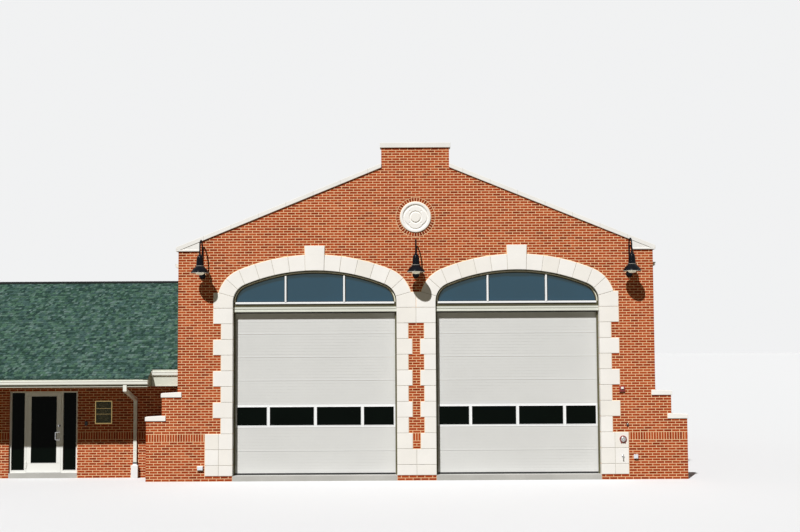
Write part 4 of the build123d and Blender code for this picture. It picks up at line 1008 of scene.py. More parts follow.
def archLine(centre, inset, foot):
    # points up one jamb, over the arch and down the other
    halfWidth = openingWidth / 2 - inset
    corner, main = arch["cornerRadius"] - inset, arch["mainRadius"] - inset
    half = [(cornerOffset + corner * math.cos(a), springing + corner * math.sin(a))
            for a in turns(8, archTurn, 1)[8:0:-1]]
    left = [(centre - x, z) for x, z in half[::-1]]
    over = [(centre + main * math.cos(a), mainCentre + main * math.sin(a))
            for a in (math.pi - archTurn - t for t in turns(40, math.pi - 2 * archTurn)[1:])]
    right = [(centre + x, z) for x, z in half]
    return ([(centre - halfWidth, foot), (centre - halfWidth, springing)] + left + over + right
            + [(centre + halfWidth, springing), (centre + halfWidth, foot)])


def archStrip(shape, centre, insets, foot, ys):
    (y0, y1), (outer, inner) = ys, (archLine(centre, inset, foot) for inset in insets)
    shape.loft([[(a[0], y0, a[1]), (b[0], y0, b[1]), (b[0], y1, b[1]), (a[0], y1, a[1])]
                for a, b in zip(outer, inner)])


def makeTransomDetails():
    lips, covers, strips = Shape(), Shape(), {row[0]: Shape() for row in transomStrips}
    front, sill, sillTop = transom["front"], transom["sill"], transomSillTop
    gasket, ys, lap = strips["transom_gaskets"], off(front, transom["gasket"]), transom["lap"]
    for centre in archCentres:
        for name, _, _, _, insets, foot, depths in transomStrips:
            archStrip(strips[name], centre, insets, foot, off(front, depths))
        inside = span(centre, openingWidth - 2 * transom["frame"])
        for x in (-transom["mullionAt"], transom["mullionAt"]):
            top = mainCentre + math.sqrt((arch["mainRadius"] - transom["frame"]) ** 2 - x * x)
            for rim, side in zip(span(centre + x, transom["mullion"]), (-1, 1)):
                edge = transom["gasketSide"]
                gasket.box((rim, rim + side * edge), ys, (sillTop, top - edge))
            # a cover over each mullion, proud of the frame
            covers.box(span(centre + x, transom["coverWidth"]), off(front, (-transom["cover"], lap)),
                       (sillTop - lap, top - 2 * lap))
        gasket.box(inside, ys, (sillTop, sillTop + transom["gasketWidth"]))
        # the sill stands out over the band below it
        lips.box(grown(inside, transom["gasketSide"]), off(front, (-transom["nosing"], lap)),
                 (sill + .003, sillTop - 2 * lap))
    covers.piece("mullion_covers", "whiteFrame", "white_frame", edge=.003)
    lips.piece("transom_sill_nosings", "whiteFrame", "white_frame", edge=.003)
    for name, look, slotName, edge, *_ in transomStrips:
        strips[name].piece(name, look, slotName, edge=edge)
    ribs, grooves, seals = shapes(3)
    for centre in archCentres:
        xs = span(centre, openingWidth - header["inset"])
        # painted shade: a dark strip, nearly flush with the header, stands for the shade in its groove
        grooves.box(xs, off(headerFront, header["grooveDepths"]), off(headerFoot, header["groove"]))
        # a black rubber seal along each door's top under the header; it also darkens the top where the
        # header's shadow falls (painted shade)
        seals.box(grown(xs, -header["sealInset"]), off(door["face"], header["sealDepths"]),
                  off(headerFoot, header["seal"]))
        ribs.box(xs, off(headerFront, header["topDepths"]), off(headerTop, header["topRib"]))
        ribs.box(xs, off(headerFront, header["footDepths"]), off(headerFoot, header["footRib"]))
    ribs.piece("header_ribs", "headerCream", "header_cream", edge=.003)
    grooves.piece("header_groove_shade_strips", "oliveDark", "olive_frame", edge=.0008)
    seals.piece("door_head_seals_and_shade", "blackRubber", "lamp_black", edge=.004)


def doorLights(left):
    outer, muntin, edge = door["outerLight"], door["muntin"], door["seal"] + door["rail"]
    inner = (openingWidth - 2 * edge - 3 * muntin - 2 * outer) / 2
    start = left + edge
    for width in (outer, inner, inner, outer):
        yield start, start + width
        start += width + muntin


def makeDoorDetails():
    stops, gaskets, feet, lips = shapes(4)
    foot = door["windowSection"] * door["section"] + door["lightFoot"]
    face, zs = door["face"], (foot, foot + door["lightHeight"])
    for left in (margin, margin + openingWidth + pierWidth):
        for xs in doorLights(left):
            stops.frame(grown(xs, door["stopOver"]), off(face, door["stopDepths"]),
                        grown(zs, door["stopOver"]), door["stop"])
            gaskets.frame(xs, off(face, door["gasketDepths"]), zs, door["gasket"])
        xs = grown((left, left + openingWidth), -door["seal"] - .002)
        for depths, levels in door["footSeals"]:
            feet.box(xs, off(face, depths), levels)
        for k in range(1, door["sections"]):      # tongue of each section joint
            lips.box(xs, off(face, door["lipDepths"]), off(k * door["section"], door["lip"]))
    stops.piece("door_glazing_stops", "whiteFrame", "white_frame", edge=.003)
    gaskets.piece("door_glazing_gaskets", "blackRubber", "lamp_black")
    feet.piece("door_bottom_seals", "blackRubber", "lamp_black", edge=.004)
    lips.piece("door_section_lips", "doorSteel", "door_grey", edge=.0015)


# pointing between the stones
pointing = {"depths": (-.0040, .0010), "inset": .0005, "lap": .004, "end": .002,
            "foot": (3.5, 2), "shaft": (1.5, 1.5)}      # modules at the jamb and at each side of the pier


def makePointing():
    shape, ys = Shape(), pointing["depths"]
    inset, lap, low = (pointing[k] for k in ("inset", "lap", "end"))
    top = arch["pierTop"] - low
    for centre in archCentres:
        archStrip(shape, centre, (lap - arch["ring"], -inset), arch["pierTop"], ys)
    foot = stones["foot"] * course - lap
    for zs, (jamb, pier) in (((low, foot), pointing["foot"]), ((foot, top), pointing["shaft"])):
        for side in (-1, 1):
            edge = middle + side * (middle - margin)
            shape.box((edge + side * inset, edge + side * (jamb * module - lap)), ys, zs)
            shape.box((middle + side * (pierWidth / 2 - pier * module + lap),
                       middle + side * (pierWidth / 2 - inset)), ys, zs)
    for zs in ((low, stones["pierFoot"] * course - lap), (stones["pierHead"] * course + lap, top)):
        shape.box((middle - module, middle + module), ys, zs)
    shape.piece("stone_pointing", "pointing", "cast_stone")


# round stone in the gable
def makeMedallion():
    shape = Shape()
    count, spokes, lobes, radius = (medallion[k] for k in ("rings", "spokes", "lobes", "radius"))
    boss, groove, rimIn = medallion["boss"], medallion["groove"], radius - medallion["rim"]

    def smoothStep(low, high, value):
        share = min(1, max(0, (value - low) / (high - low)))
        return share * share * (3 - 2 * share)

    def nearest(x, z, reach, shift):
        # distance to the nearest of the lobes' or pits' centres
        angles = [2 * math.pi * (k + shift) / lobes for k in range(lobes)]
        return min(math.hypot(x - reach * math.cos(a), z - reach * math.sin(a)) for a in angles)

    def heightAt(r, x, z):
        rim = medallion["relief"] * smoothStep(rimIn - medallion["cove"], rimIn + medallion["rimFade"], r)
        rim *= 1 - smoothStep(radius - medallion["edgeFade"], radius, r) * medallion["edgeFall"]
        lobe = 1 - smoothStep(*off(medallion["lobe"], medallion["lobeFade"]),
                              nearest(x, z, medallion["lobeAt"], 0))
        ditch = boss + groove
        lobe *= medallion["lobeRelief"] * smoothStep(ditch, ditch + medallion["grooveFade"], r)
        pit = 1 - smoothStep(medallion["pitCore"], medallion["pit"], nearest(x, z, medallion["pitAt"], .5))
        centre = medallion["bossRelief"] * (1 - smoothStep(*off(boss, medallion["bossFade"]), r))
        return max(rim, lobe - medallion["pitDepth"] * pit, centre)

    cells = []
    for i in range(count + 1):
        r = radius * i / count
        spots = [(r * math.cos(a), r * math.sin(a)) for a in turns(spokes if i else 1)]
        cells.append(shape.ring([(middle + x, medallion["face"] - heightAt(r, x, z), medallion["height"] + z)
                                 for x, z in spots]))
    for k in range(spokes):
        shape.faces.append((cells[0][0], cells[1][k], cells[1][(k + 1) % spokes]))
    cells.append(shape.ring([(middle + x, medallion["depth"], medallion["height"] + z) for x, z in spots]))
    for low, high in zip(cells[1:], cells[2:]):
        shape.bridge(low, high)
    shape.piece("medallion_relief", "castStone", "cast_stone", smooth=50, standsFor=("medallion",))


# lamps
lamp = {"nodes": ("left_lamp_shade", "centre_lamp_shade", "right_lamp_shade"), "wall": .0052, "skin": .0030,
        "crown": (.032, 5.695), "shoulder": (.083, 5.600), "neck": (.092, 5.500), "waist": (.108, 5.402),
        "rim": (.235, 5.240), "bulge": .013, "domeBend": .33, "flareOut": .3, "flareDown": .6,
        "band": (.1075, 5.410, .011), "canopy": 5.185, "canopyRadius": .080, "canopyEdge": .035,
        "canopyDepth": .090, "bend": .72, "riser": .045, "reach": .410, "arm": .0185, "armTop": 6.095,
        "canopyRim": ((.088, .002), (.088, .007), (.082, .011), (.070, .012)),
        "canopyBoss": ((.015, 0), (.015, .004), (.010, .009), (.004, .011)),
        "screw": ((.006, 0), (.006, .004), (.003, .006)), "screwAt": .72, "screwDepth": .050,
        "straight": .05, "intoShade": .02, "canopySide": .012, "canopyTip": .0005, "bossSunk": .003,
        "nutAbove": .056, "rimBead": .006, "bead": .004, "liningRim": (-.008, .0015),
        "enamel": (-.004, -.0048, .0042), "bandDepths": (-.006, .002), "bandTaper": .001,
        "riserNut": ((.030, 0), (.030, .014), (.025, .020), (.025, .040), (.0195, .046)),
        "collar": ((.020, -.002), (.038, -.002), (.040, .006), (.035, .018), (.027, .024), (.027, .044),
                   (.0195, .052)),
        "bowl": ((.001, 5.182), (.040, 5.184), (.075, 5.193), (.098, 5.211), (.108, 5.235), (.108, 5.262),
                 (.088, 5.284), (.050, 5.300), (.024, 5.320), (.022, 5.500))}


def arcPoints(first, through, last, count):
    # points on the circle through three points, from the first to the last
    (ax, ay), (bx, by), (cx, cy) = first, through, last
    a, b, c = (x * x + y * y for x, y in (first, through, last))
    double = 2 * (ax * (by - cy) + bx * (cy - ay) + cx * (ay - by))
    ux = (a * (by - cy) + b * (cy - ay) + c * (ay - by)) / double
    uy = (a * (cx - bx) + b * (ax - cx) + c * (bx - ax)) / double
    start = math.atan2(ay - uy, ax - ux)
    turn = (math.atan2(cy - uy, cx - ux) - start + math.pi) % (2 * math.pi) - math.pi
    radius = math.hypot(ax - ux, ay - uy)
    return [(ux + radius * math.cos(start + t), uy + radius * math.sin(start + t))
            for t in turns(count, turn, 1)]


def loopAt(radius, height, size, count=10):
    # a closed round section, to be turned
    return [(radius + size * math.cos(a), height + size * math.sin(a)) for a in turns(count, ends=1)]


def shadeOutline(inset):
    # from the crown to the rim, moved in by the inset
    crown, shoulder, neck, waist, rim = (lamp[k] for k in ("crown", "shoulder", "neck", "waist", "rim"))
    bend, bulge = lamp["domeBend"], lamp["bulge"]
    dome = (shoulder[0] - bend * (shoulder[0] - crown[0]), crown[1] - bend * (crown[1] - shoulder[1]))
    flare = (neck[0] + lamp["flareOut"] * (waist[0] - neck[0]),
             neck[1] - lamp["flareDown"] * (neck[1] - waist[1]))
    run, fall = rim[0] - waist[0], waist[1] - rim[1]
    length = math.hypot(run, fall)
    skirt = ((waist[0] + rim[0]) / 2 + bulge * fall / length, (waist[1] + rim[1]) / 2 + bulge * run / length)
    outside = (arcPoints(crown, dome, shoulder, 6) + arcPoints(neck, flare, waist, 6)
               + arcPoints(waist, skirt, rim, 8)[1:])
    inside = []
    for i, (r, z) in enumerate(outside):
        before, after = outside[max(i - 1, 0)], outside[min(i + 1, len(outside) - 1)]
        ahead = Vector((after[0] - before[0], after[1] - before[1])).normalized()
        inside.append((r + ahead.y * inset, z - ahead.x * inset))
    return inside


def makeLampArms():
    # one bent pipe from the canopy on the wall, up, over and down to the shade
    arms, canopies = shapes(2)
    radius, edge, depth, bend = (lamp[k] for k in ("canopyRadius", "canopyEdge", "canopyDepth", "bend"))
    dome = arcPoints((radius, edge), (radius * bend, edge + (depth - edge) * bend),
                     (lamp["canopyTip"], depth), 8)
    near, far = lamp["riser"], lamp["reach"]
    turn = (far - near) / 2
    level = lamp["armTop"] - turn
    straight = level - lamp["straight"]
    for name in lamp["nodes"]:
        low, high = solid(name)
        x = (low[0] + high[0]) / 2
        path = [(x, -near, lamp["canopy"]), (x, -near, straight)]
        path += [(x, turn * math.cos(a) - (near + far) / 2, level + turn * math.sin(a))
                 for a in turns(20, math.pi, 1)]
        path += [(x, -far, straight), (x, -far, lamp["crown"][1] + lamp["intoShade"])]
        arms.tube(path, lamp["arm"], steps=20)
        canopies.knob((x, 0, lamp["canopy"]), [(radius, 0), (radius, lamp["canopySide"])] + dome, 48)
    arms.piece("lamp_arms", "lampBlack", "lamp_black", smooth=50, standsFor=("lamp_brackets",))
    canopies.piece("lamp_canopies", "lampBlack", "lamp_black", smooth=50)


def makeLampDetails():
    trims, linings, bowls, rims, shades, bands = shapes(6)
    rim, bead, taper, (radius, low, tall) = (lamp[k] for k in ("rim", "rimBead", "bandTaper", "band"))
    beads = [loopAt(rim[0] - bead, rim[1] + bead, bead)]
    beads += [loopAt(*lamp[k], lamp["bead"]) for k in ("neck", "shoulder")]
    lining = shadeOutline(lamp["wall"])[:-1]
    lining.append((rim[0] + lamp["liningRim"][0], rim[1] + lamp["liningRim"][1]))
    # a ring round the shade's waist, coloured grey-tan so that it shows the pale sheen line there (painted
    # highlight)
    inner, outer = off(radius, lamp["bandDepths"])
    band = [(inner, low), (outer, low + taper), (outer, low + tall), (inner, low + tall + taper)]
    enamelIn, enamelDown, enamel = lamp["enamel"]
    level = lamp["canopy"]
    for name in lamp["nodes"]:
        corners = solid(name)
        x, y = (sum(corner[k] for corner in corners) / 2 for k in (0, 1))
        centre = (x, y, 0)
        for bead in beads:
            trims.turned(centre, bead, 48, capped=False)
        # the enamel of the inside shows at the rim
        rims.turned(centre, loopAt(rim[0] + enamelIn, rim[1] + enamelDown, enamel), 48, capped=False)
        trims.turned((x, y, lamp["crown"][1]), lamp["collar"], 32)
        linings.turned(centre, lining, 48, capped=False)
        shades.turned(centre, shadeOutline(0) + shadeOutline(lamp["skin"])[::-1], 64, capped=False)
        bands.turned(centre, band, 48, capped=False)
        bowls.turned(centre, lamp["bowl"], 40)
        trims.knob((x, 0, level), lamp["canopyRim"], 40)
        trims.knob((x, lamp["bossSunk"] - lamp["canopyDepth"], level), lamp["canopyBoss"], 24)
        trims.turned((x, -lamp["riser"], level + lamp["nutAbove"]), lamp["riserNut"], 28)
        for at in span(x, 2 * lamp["screwAt"] * lamp["canopyRadius"]):
            trims.knob((at, -lamp["screwDepth"], level), lamp["screw"], 10)
    trims.piece("lamp_trims", "lampBlack", "lamp_black", smooth=50)
    bands.piece("lamp_bands_painted_sheen", "sealant", "steel", smooth=40)
    shades.piece("lamp_shades", "lampBlack", "lamp_black", smooth=50, standsFor=lamp["nodes"])
    linings.piece("lamp_insides", "lampInside", "header_cream", smooth=60)
    rims.piece("lamp_rims", "lampInside", "header_cream", smooth=60)
    bowls.piece("lamp_bowls", "opalGlassPaintedGlow", "header_cream", smooth=60)


# entrance
storefront = {"member": .050, "depth": .115, "glass": .012, "leafWidth": .922, "stile": .120, "bead": .013,
              "gasket": .005, "gap": .005, "roses": (.880, 1.080),
              "rose": ((.022, 0), (.022, .003), (.018, .006)), "keywayAside": .026,
              "keyway": ((.024, 0), (.024, .003), (.018, .0056)), "lockDrop": .022, "grooves": 5,
              "groovePitch": .018, "groove": (.012, .018), "plate": (-.004, .100), "plateThick": .0022,
              "plateShort": .052, "beadDepths": (-.004, .001), "leafSeal": (-.003, .001),
              "joint": .002, "jointDepths": (-.0006, .002), "jointBelow": .003, "jointAbove": .001,
              "jointIn": .001, "grooveLevels": (.002, .0030), "keywayProud": .010}


def makeEntranceDetails():
    front = entrance["front"]
    bead, seal, stile = (storefront[k] for k in ("bead", "gasket", "stile"))
    fixed, leaf, fixedGasket, leafGasket, plate, roses, keyway = shapes(7)
    leafLeft, leafRight = span((entranceLeft + entranceRight) / 2, storefront["leafWidth"])
    post = storefront["gap"] + storefront["member"]
    beadYs, joint = off(front, storefront["beadDepths"]), storefront["joint"]
    y = front + (storefront["depth"] - storefront["glass"]) / 2
    zs = [corner[2] for corner in solid("sidelight_glass")]
    for xs in ((entranceLeft + storefront["member"], leafLeft - post),
               (leafRight + post, entranceRight - storefront["member"])):
        fixed.frame(grown(xs, bead), beadYs, grown(zs, bead), bead)
        fixedGasket.frame(xs, off(y, storefront["beadDepths"]), zs, seal)
    xs, (y, _), zs = zip(*solid("entrance_door_glass"))
    leaf.frame(grown(xs, bead), beadYs, grown(zs, bead), bead)
    leafGasket.frame(xs, off(y, storefront["leafSeal"]), zs, seal)
    # where the rails meet the stiles
    for z in (zs[0] - storefront["jointBelow"], zs[1] + storefront["jointAbove"]):
        for x in (leafLeft + storefront["jointIn"], xs[1]):
            leafGasket.box((x, x + stile - joint), off(front, storefront["jointDepths"]), (z, z + joint))
    fixed.piece("sidelight_beads", "entrancePaint", "entrance_frame", edge=.002)
    fixedGasket.piece("sidelight_gaskets", "blackRubber", "lamp_black")
    leaf.piece("door_leaf_beads", "entrancePaint", "entrance_frame", body="entrance_door", edge=.002)
    leafGasket.piece("door_leaf_gaskets", "blackRubber", "lamp_black", body="entrance_door")
    plate.box(grown((leafLeft, leafRight), post - storefront["plateShort"]), off(front, storefront["plate"]),
              (0, storefront["plateThick"]))
    for k in range(storefront["grooves"]):
        plate.box((leafLeft, leafRight), off(front + k * storefront["groovePitch"], storefront["groove"]),
                  storefront["grooveLevels"])
    plate.piece("threshold", "steel", "steel")
    x = leafRight - stile / 2
    for z in storefront["roses"]:
        roses.knob((x, front, z), storefront["rose"], 28)
    roses.piece("door_roses", "chrome", "steel", body="entrance_door", smooth=40)
    lock = solid("entrance_door_pull")[1][2] - storefront["lockDrop"]
    keyway.knob((x + storefront["keywayAside"], front - storefront["keywayProud"], lock),
                storefront["keyway"], 28)
    keyway.piece("door_keyway", "blackRubber", "lamp_black", body="entrance_door")


# plaque, bell and fittings; the plaque's strips say nothing
plaque = {"border": .024, "inner": .034, "line": .004, "bars": (.208, .355), "bar": .010, "strip": .011,
          "fieldInset": .004, "fieldDepth": .010, "lineDepths": (.006, .012), "barDepths": (.003, .012),
          "stripDepths": (.0065, .012),
          "screw": ((.007, 0), (.0056, .003), (.001, .0045)),
          "strips": ((.080, .55), (.112, .70), (.144, .62), (.176, .40), (.252, .60), (.290, .72),
                     (.320, .45), (.395, .66), (.432, .74), (.469, .70), (.506, .52))}


def makePlaque():
    xs, (y0, y1), zs = zip(*solid("plaque"))
    field, trim, strips = shapes(3)
    inner, border, strip = plaque["inner"], plaque["border"], plaque["strip"]
    inset = plaque["fieldInset"]
    field.box(grown(xs, -inset), (y0 + plaque["fieldDepth"], y1), grown(zs, -inset))
    trim.frame(xs, (y0, y1 - inset), zs, border)
    field.frame(grown(xs, -inner), off(y0, plaque["lineDepths"]), grown(zs, -inner), plaque["line"])
    for drop in plaque["bars"]:
        trim.box(grown(xs, -inner), off(y0, plaque["barDepths"]), span(zs[1] - drop, plaque["bar"]))
    for drop, share in plaque["strips"]:
        if zs[1] - drop > zs[0] + inner + strip:
            strips.box(span(sum(xs) / 2, (xs[1] - xs[0] - 2 * inner) * share), off(y0, plaque["stripDepths"]),
                       span(zs[1] - drop, strip))
    strips.piece("plaque_strips", "agedBrass", "plaque", edge=.001)
    for x in grown(xs, -border / 2):
        for z in grown(zs, -border / 2):
            trim.knob((x, y0 + .001, z), plaque["screw"], 14)
    field.piece("plaque_field", "bronzeField", "plaque", standsFor=("plaque",))
    trim.piece("plaque_trim", "brass", "plaque", edge=.002)


bell = {"shift": -.034, "radius": .092, "gong": .071, "lugAt": .052, "lug": .020, "lugDepth": .014,
        "lugTall": (-.014, .030), "nutAt": .058,
        "back": ((0, 0), (0, .020), (-.003, .025), (-.010, .027), (-.014, .024)), "backHole": (.02, .024),
        "gongRim": ((-.003, .024), (0, .028), (-.001, .034)), "gongTop": [(.013, .0592), (.002, .0593)],
        "gongShape": ((.93, .043), (.78, .050), (.55, .0555), (.28, .0585)),
        "nut": ((.011, 0), (.011, .006), (.007, .009), (.002, .010))}


def makeBell():
    low, high = solid("fire_bell")
    x, y, z = (low[0] + high[0]) / 2 + bell["shift"], high[1], (low[2] + high[2]) / 2
    red, gong, nut = shapes(3)
    r, g = bell["radius"], bell["gong"]
    red.knob((x, y, z), [(r + a, h) for a, h in bell["back"]] + [bell["backHole"]], 48)
    outline = [(g + a, h) for a, h in bell["gongRim"]] + [(g * s, h) for s, h in bell["gongShape"]]
    gong.knob((x, y, z), outline + bell["gongTop"], 48)
    nut.knob((x, y - bell["nutAt"], z), bell["nut"], 18)
    for at in span(x, 2 * bell["lugAt"]):
        red.box(span(at, bell["lug"]), (y - bell["lugDepth"], y), off(z - r, bell["lugTall"]))
    red.piece("bell_back", "alarmRed", "bell", smooth=40, standsFor=("fire_bell",))
    gong.piece("bell_gong", "chrome", "bell", smooth=40)
    nut.piece("bell_nut", "steel", "steel", smooth=40)


# boxes: place along the wall, height, width, tallness and depth
fittings = {"horn": (frontWidth - .865, 2.190, .140), "hornDepth": .045, "strobe": (.070, .056),
            "strobeDepths": (-.075, -.044), "slots": 5, "slot": (.096, .004), "slotPitch": .010,
            "outlets": ((frontWidth - .534, .450, .110, .112, .055), (.596, .207, .150, .110, .060)),
            "keySwitch": (frontWidth - .738, 1.276, .052, .066, .030),
            "keypad": (entranceRight + .236, 1.310, .070, .110, .030), "keys": (3, 4), "keyPitch": .020,
            "key": (.014, .004, .012), "lockAbove": .012, "slotFoot": -.058, "slotBack": -.040,
            "lock": ((.013, 0), (.013, .004), (.010, .006)), "proud": .0008}
# the outlets' cover, the pin it hangs on and its slot: shares of depth and width, and metres
outlet = {"back": .55, "coverBack": .5, "narrower": .012, "coverFoot": .006, "coverTop": .008,
          "pinAt": .75, "pinDrop": .004, "pinShort": .02, "pin": .003, "slot": .36, "slotIn": .002,
          "slotAt": (.010, .014)}
tap = {"place": (frontWidth - .877, .463), "face": -.015, "reach": .060, "pipe": .0115, "wheel": .024,
       "bends": ((.012, 0), (.003, -.004), (0, -.014), (0, -.048)), "mouthDrop": .060, "stemBack": .006,
       "stemFoot": .004, "wheelAt": .044, "wire": .0035, "spoke": .003, "spokeShort": .001, "spokeTurn": .4,
       "spokes": 4, "flange": ((.030, 0), (.030, .005), (.024, .009), (.014, .011)),
       "mouth": ((.0125, 0), (.0145, .002), (.0145, .016), (.0125, .018)),
       "stem": ((.014, 0), (.014, .012), (.0065, .016), (.0060, .040))}


def makeTap(metal):
    (x, z), face, wheel, level = (tap[k] for k in ("place", "face", "wheel", "wheelAt"))
    y = face - tap["reach"]
    metal.knob((x, face, z), tap["flange"], 24)
    metal.tube([(x, face, z)] + [(x, y + a, z + b) for a, b in tap["bends"]], tap["pipe"], steps=16)
    metal.turned((x, y, z - tap["mouthDrop"]), tap["mouth"], 20)
    y += tap["stemBack"]
    metal.turned((x, y, z + tap["stemFoot"]), tap["stem"], 20)
    metal.turned((x, y, z), loopAt(wheel, level, tap["wire"], 8), 28, capped=False)
    reach = wheel - tap["spokeShort"]
    for a in turns(tap["spokes"]):
        a += tap["spokeTurn"]
        end = (x + reach * math.cos(a), y + reach * math.sin(a), z + level)
        metal.tube([(x, y, z + level), end], tap["spoke"], steps=8)


def makeFittings():
    red, white, dark, grey, metal = shapes(5)
    x, z, width = fittings["horn"]
    depth, proud, (strobeWidth, strobeTall) = (fittings[k] for k in ("hornDepth", "proud", "strobe"))
    red.box(span(x, width), (-depth, 0), span(z, width))
    slotWidth, slotTall = fittings["slot"]
    white.box(span(x, strobeWidth), fittings["strobeDepths"], (z, z + strobeTall))
    for k in range(fittings["slots"]):
        low = z + fittings["slotFoot"] + fittings["slotPitch"] * k
        dark.box(span(x, slotWidth), (-depth - proud, fittings["slotBack"]), (low, low + slotTall))
    makeTap(metal)
    for x, z, width, tall, depth in fittings["outlets"]:
        foot, top = span(z, tall)
        grey.box(span(x, width), (-depth * outlet["back"], 0), (foot, top))
        grey.box(span(x, width - outlet["narrower"]), (-depth, -depth * outlet["coverBack"]),
                 (foot + outlet["coverFoot"], top - outlet["coverTop"]))
        metal.tube([(at, -depth * outlet["pinAt"], top - outlet["pinDrop"])
                    for at in span(x, width - outlet["pinShort"])], outlet["pin"], steps=8)
        dark.box(span(x, width * outlet["slot"]), (-depth - proud, -depth + outlet["slotIn"]),
                 off(foot, outlet["slotAt"]))
    x, z, width, tall, depth = fittings["keySwitch"]
    dark.box(span(x, width), (-depth, 0), span(z, tall))
    metal.knob((x, -depth, z + fittings["lockAbove"]), fittings["lock"], 20)
    x, z, width, tall, depth = fittings["keypad"]
    dark.box(span(x, width), (wingFront - depth, wingFront), span(z, tall))
    (columns, lines), pitch, key = (fittings[k] for k in ("keys", "keyPitch", "key"))
    for row in range(lines):
        for column in range(columns):
            dark.box(span(x + pitch * (column - 1), key[0]), span(wingFront - depth, key[1]),
                     span(z + pitch * (row - 1.5), key[2]))
    red.piece("alarm_horn", "alarmRed", "bell", edge=.006, standsFor=("wall_fittings",))
    white.piece("alarm_strobe", "bulb", "white_frame", edge=.008)
    dark.piece("switch_boxes", "blackRubber", "lamp_black", edge=.002)
    grey.piece("outlet_boxes", "greyBox", "fittings", edge=.004)
    metal.piece("hose_tap", "chrome", "steel", smooth=40)


# eaves, flashings and copings
trim = {"fascia": .016, "fasciaFoot": 5.300, "fasciaJoints": 4, "dripHeight": .032, "upstand": .105,
        "jointPitch": .762, "joint": .005, "jointGrow": .0007, "copingReach": .064, "ventEnd": .95,
        "dripThick": .012, "boardJoint": .003, "soffitJoints": 3, "slit": .008, "slits": (-.020, 0, .020),
        "bedMould": ((.003, -.004), (-.062, -.004), (-.072, .003), (-.072, .020), (-.060, .028),
                     (-.035, .031), (.003, .031))}


def slopedStrip(shape, ys, lift, height, xs):
    # a strip that follows the wing's roof, in one length between each two places
    for pair in zip(ys, ys[1:]):
        shape.loft([[(xs[0], y, z), (xs[1], y, z), (xs[1], y, z + height), (xs[0], y, z + height)]
                    for y, z in ((y, wingTop(y) + lift) for y in pair)])


def makeEaveDetails():
    boards, drips, vents, lead, moulds, end = shapes(6)
    ridge, under = wingRoof["ridgeY"], (soffit - .0010, soffit + .002)
    front, back, eave = bayRoof["front"], bayRoof["back"], bayRoof["eave"]
    foot, count = trim["fasciaFoot"], trim["fasciaJoints"] + 1
    for x, side in ((0, -1), (frontWidth, 1)):
        boards.box((x - side * .002, x + side * trim["fascia"]), (front + .002, back - .002),
                   (foot, eave - .004))
        for k in range(1, count):
            at = front + .002 + (back - front - .004) * k / count
            vents.box((x, x + side * (trim["fascia"] + .0008)), span(at, trim["boardJoint"]),
                      (foot, eave - .100))
    for y, side, wall, x1 in ((eaveY, -1, wingFront, notchX), (rearEaveY, 1, wingBack, 0)):
        drips.box((rakeX - .02, x1), (y, y + side * trim["dripThick"]),
                  (wingTop(y) - trim["dripHeight"], wingTop(y) - .004))
        for at in off((wall + y) / 2, trim["slits"]):
            vents.box((rakeX + .05, -trim["ventEnd"]), span(at, trim["slit"]), (soffit - .0015, under[1]))
        for k in range(1, trim["soffitJoints"] + 1):
            at = rakeX + (-rakeX - .9) * k / (trim["soffitJoints"] + 1)
            vents.box(span(at, trim["boardJoint"]), (wall, y), under)
        section = [(y - side * p, soffit + q) for p, q in trim["bedMould"]][::-side]
        moulds.loft([[(x, p, z) for p, z in section] for x in (rakeX, x1)])
    slopedStrip(drips, (eaveY, ridge, rearEaveY), -.024, .022, (rakeX - .0275, rakeX - .0245))
    moulds.piece("wing_bed_moulds", "creamTrim", "cream_trim", edge=.003)
    # closes the lower eave beside the bay; its end board, cream trim, is painted dark olive for the shade it
    # stands in
    y0, y1, foot = eaveY + .001, notchY + .01, soffit + .001
    section = [(y0, foot), (y1, foot), (y1, wingTop(y1) - .004), (y0, wingTop(y0) - .004)]
    end.loft([[(x, y, z) for y, z in section] for x in (wingRoof["notchSolid"], notchX)])
    end.piece("wing_eave_end", "eaveEndPaintedShade", "cream_trim", edge=.003)
    # upstand where the wing's roof meets the bay's wall, and along both parapets
    slopedStrip(lead, (notchY, ridge, rearEaveY), .008, trim["upstand"], (-.0065, -.002))
    for ya, yb in ((front + .0045, front + .008), (back - .008, back - .0045)):
        for corner in (0, frontWidth):
            low, high = eave + .012, eave + .012 + gable["slope"] * middle
            lead.loft([[(x, ya, z), (x, yb, z), (x, yb, z + trim["upstand"]), (x, ya, z + trim["upstand"])]
                       for x, z in ((corner, low), (middle, high))])
    boards.piece("bay_fascias", "creamTrim", "cream_trim", edge=.002)
    drips.piece("wing_drip_edges", "shingle", "shingles")
    vents.piece("eave_joints", "sealant", "olive_frame")
    lead.piece("roof_flashings", "creamMetal", "cream_metal")


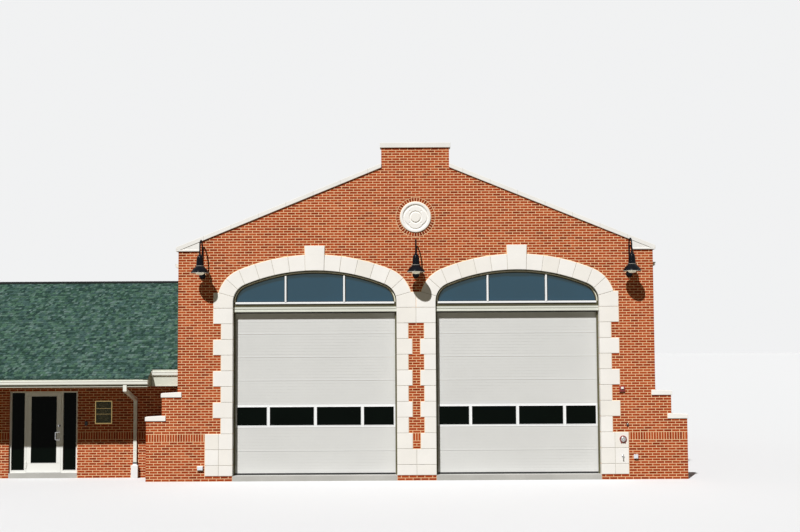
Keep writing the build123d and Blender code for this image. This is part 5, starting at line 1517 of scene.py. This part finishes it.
def makeCopingJoints():
    joints, grow, reach = Shape(), trim["jointGrow"], trim["copingReach"]
    run = blockLeft + reach
    count = int(run * math.hypot(1, gable["slope"]) / trim["jointPitch"])
    for y in (0, bayBack - wallThick):
        ya, yb = grown((y, y + wallThick), gable["overhang"] + grow)
        for mirror in (False, True):
            for k in range(1, count + 1):
                rings = []
                for a in span(k * run / (count + .5) - reach, trim["joint"]):
                    z = gable["edge"] + gable["slope"] * a
                    low, high = z - gable["coping"] + .002, z + grow
                    a = frontWidth - a if mirror else a
                    rings.append([(a, ya, low), (a, yb, low), (a, yb, high), (a, ya, high)])
                joints.loft(rings)
    joints.piece("coping_joints", "sealant", "olive_frame")


# inside of the office, seen when its door is open
room = {"lining": .010, "height": 2.90, "skirting": .100, "board": .008, "ceiling": .012}


def makeRoom():
    lining, boards = shapes(2)
    x0, x1, y0, y1 = wingLeft + wallThick, -.006, wingFront + wallThick, wingBack - wallThick
    left, right = entranceLeft - .002, entranceRight + .002

    def around(shape, thick, top):
        for xs, ys in (((x0, x0 + thick), (y0, y1)), ((x1 - thick, x1), (y0, y1)),
                       ((x0, x1), (y1 - thick, y1)), ((x0, left), (y0, y0 + thick)),
                       ((right, x1), (y0, y0 + thick))):
            shape.box(xs, ys, (.001, top))

    thick, top = room["lining"], room["height"]
    around(lining, thick, top)
    lining.box((left, right), (y0, y0 + thick), (entrance["head"] * course + .002, top))
    lining.box((x0, x1), (y0, y1), (top, top + room["ceiling"]))
    lining.piece("office_linings", "plaster", "concrete")
    around(boards, thick + room["board"], room["skirting"])
    boards.piece("office_skirting", "whiteFrame", "white_frame", edge=.002)


makeFinishes()
makeCamera()
makeStudio()
dressNodes()
print("finishes on the solids:", len(finishes))
makeBayBricks()
makeReturnBricks()
makeWingBricks()
print("bricks laid")
makeRoofs()
makeRidgeTabs()
print("roofs shingled")
makeGutters()
makeSpoutDetails()
print("gutters and downspouts done")
makeTransomDetails()
makeDoorDetails()
makePointing()
makeMedallion()
makeLampArms()
makeLampDetails()
print("doors, transoms, lamps done")
makeEntranceDetails()
makePlaque()
makeBell()
makeFittings()
print("entrance and fittings done")
makeEaveDetails()
makeCopingJoints()
makeRoom()
print("eaves and room done")
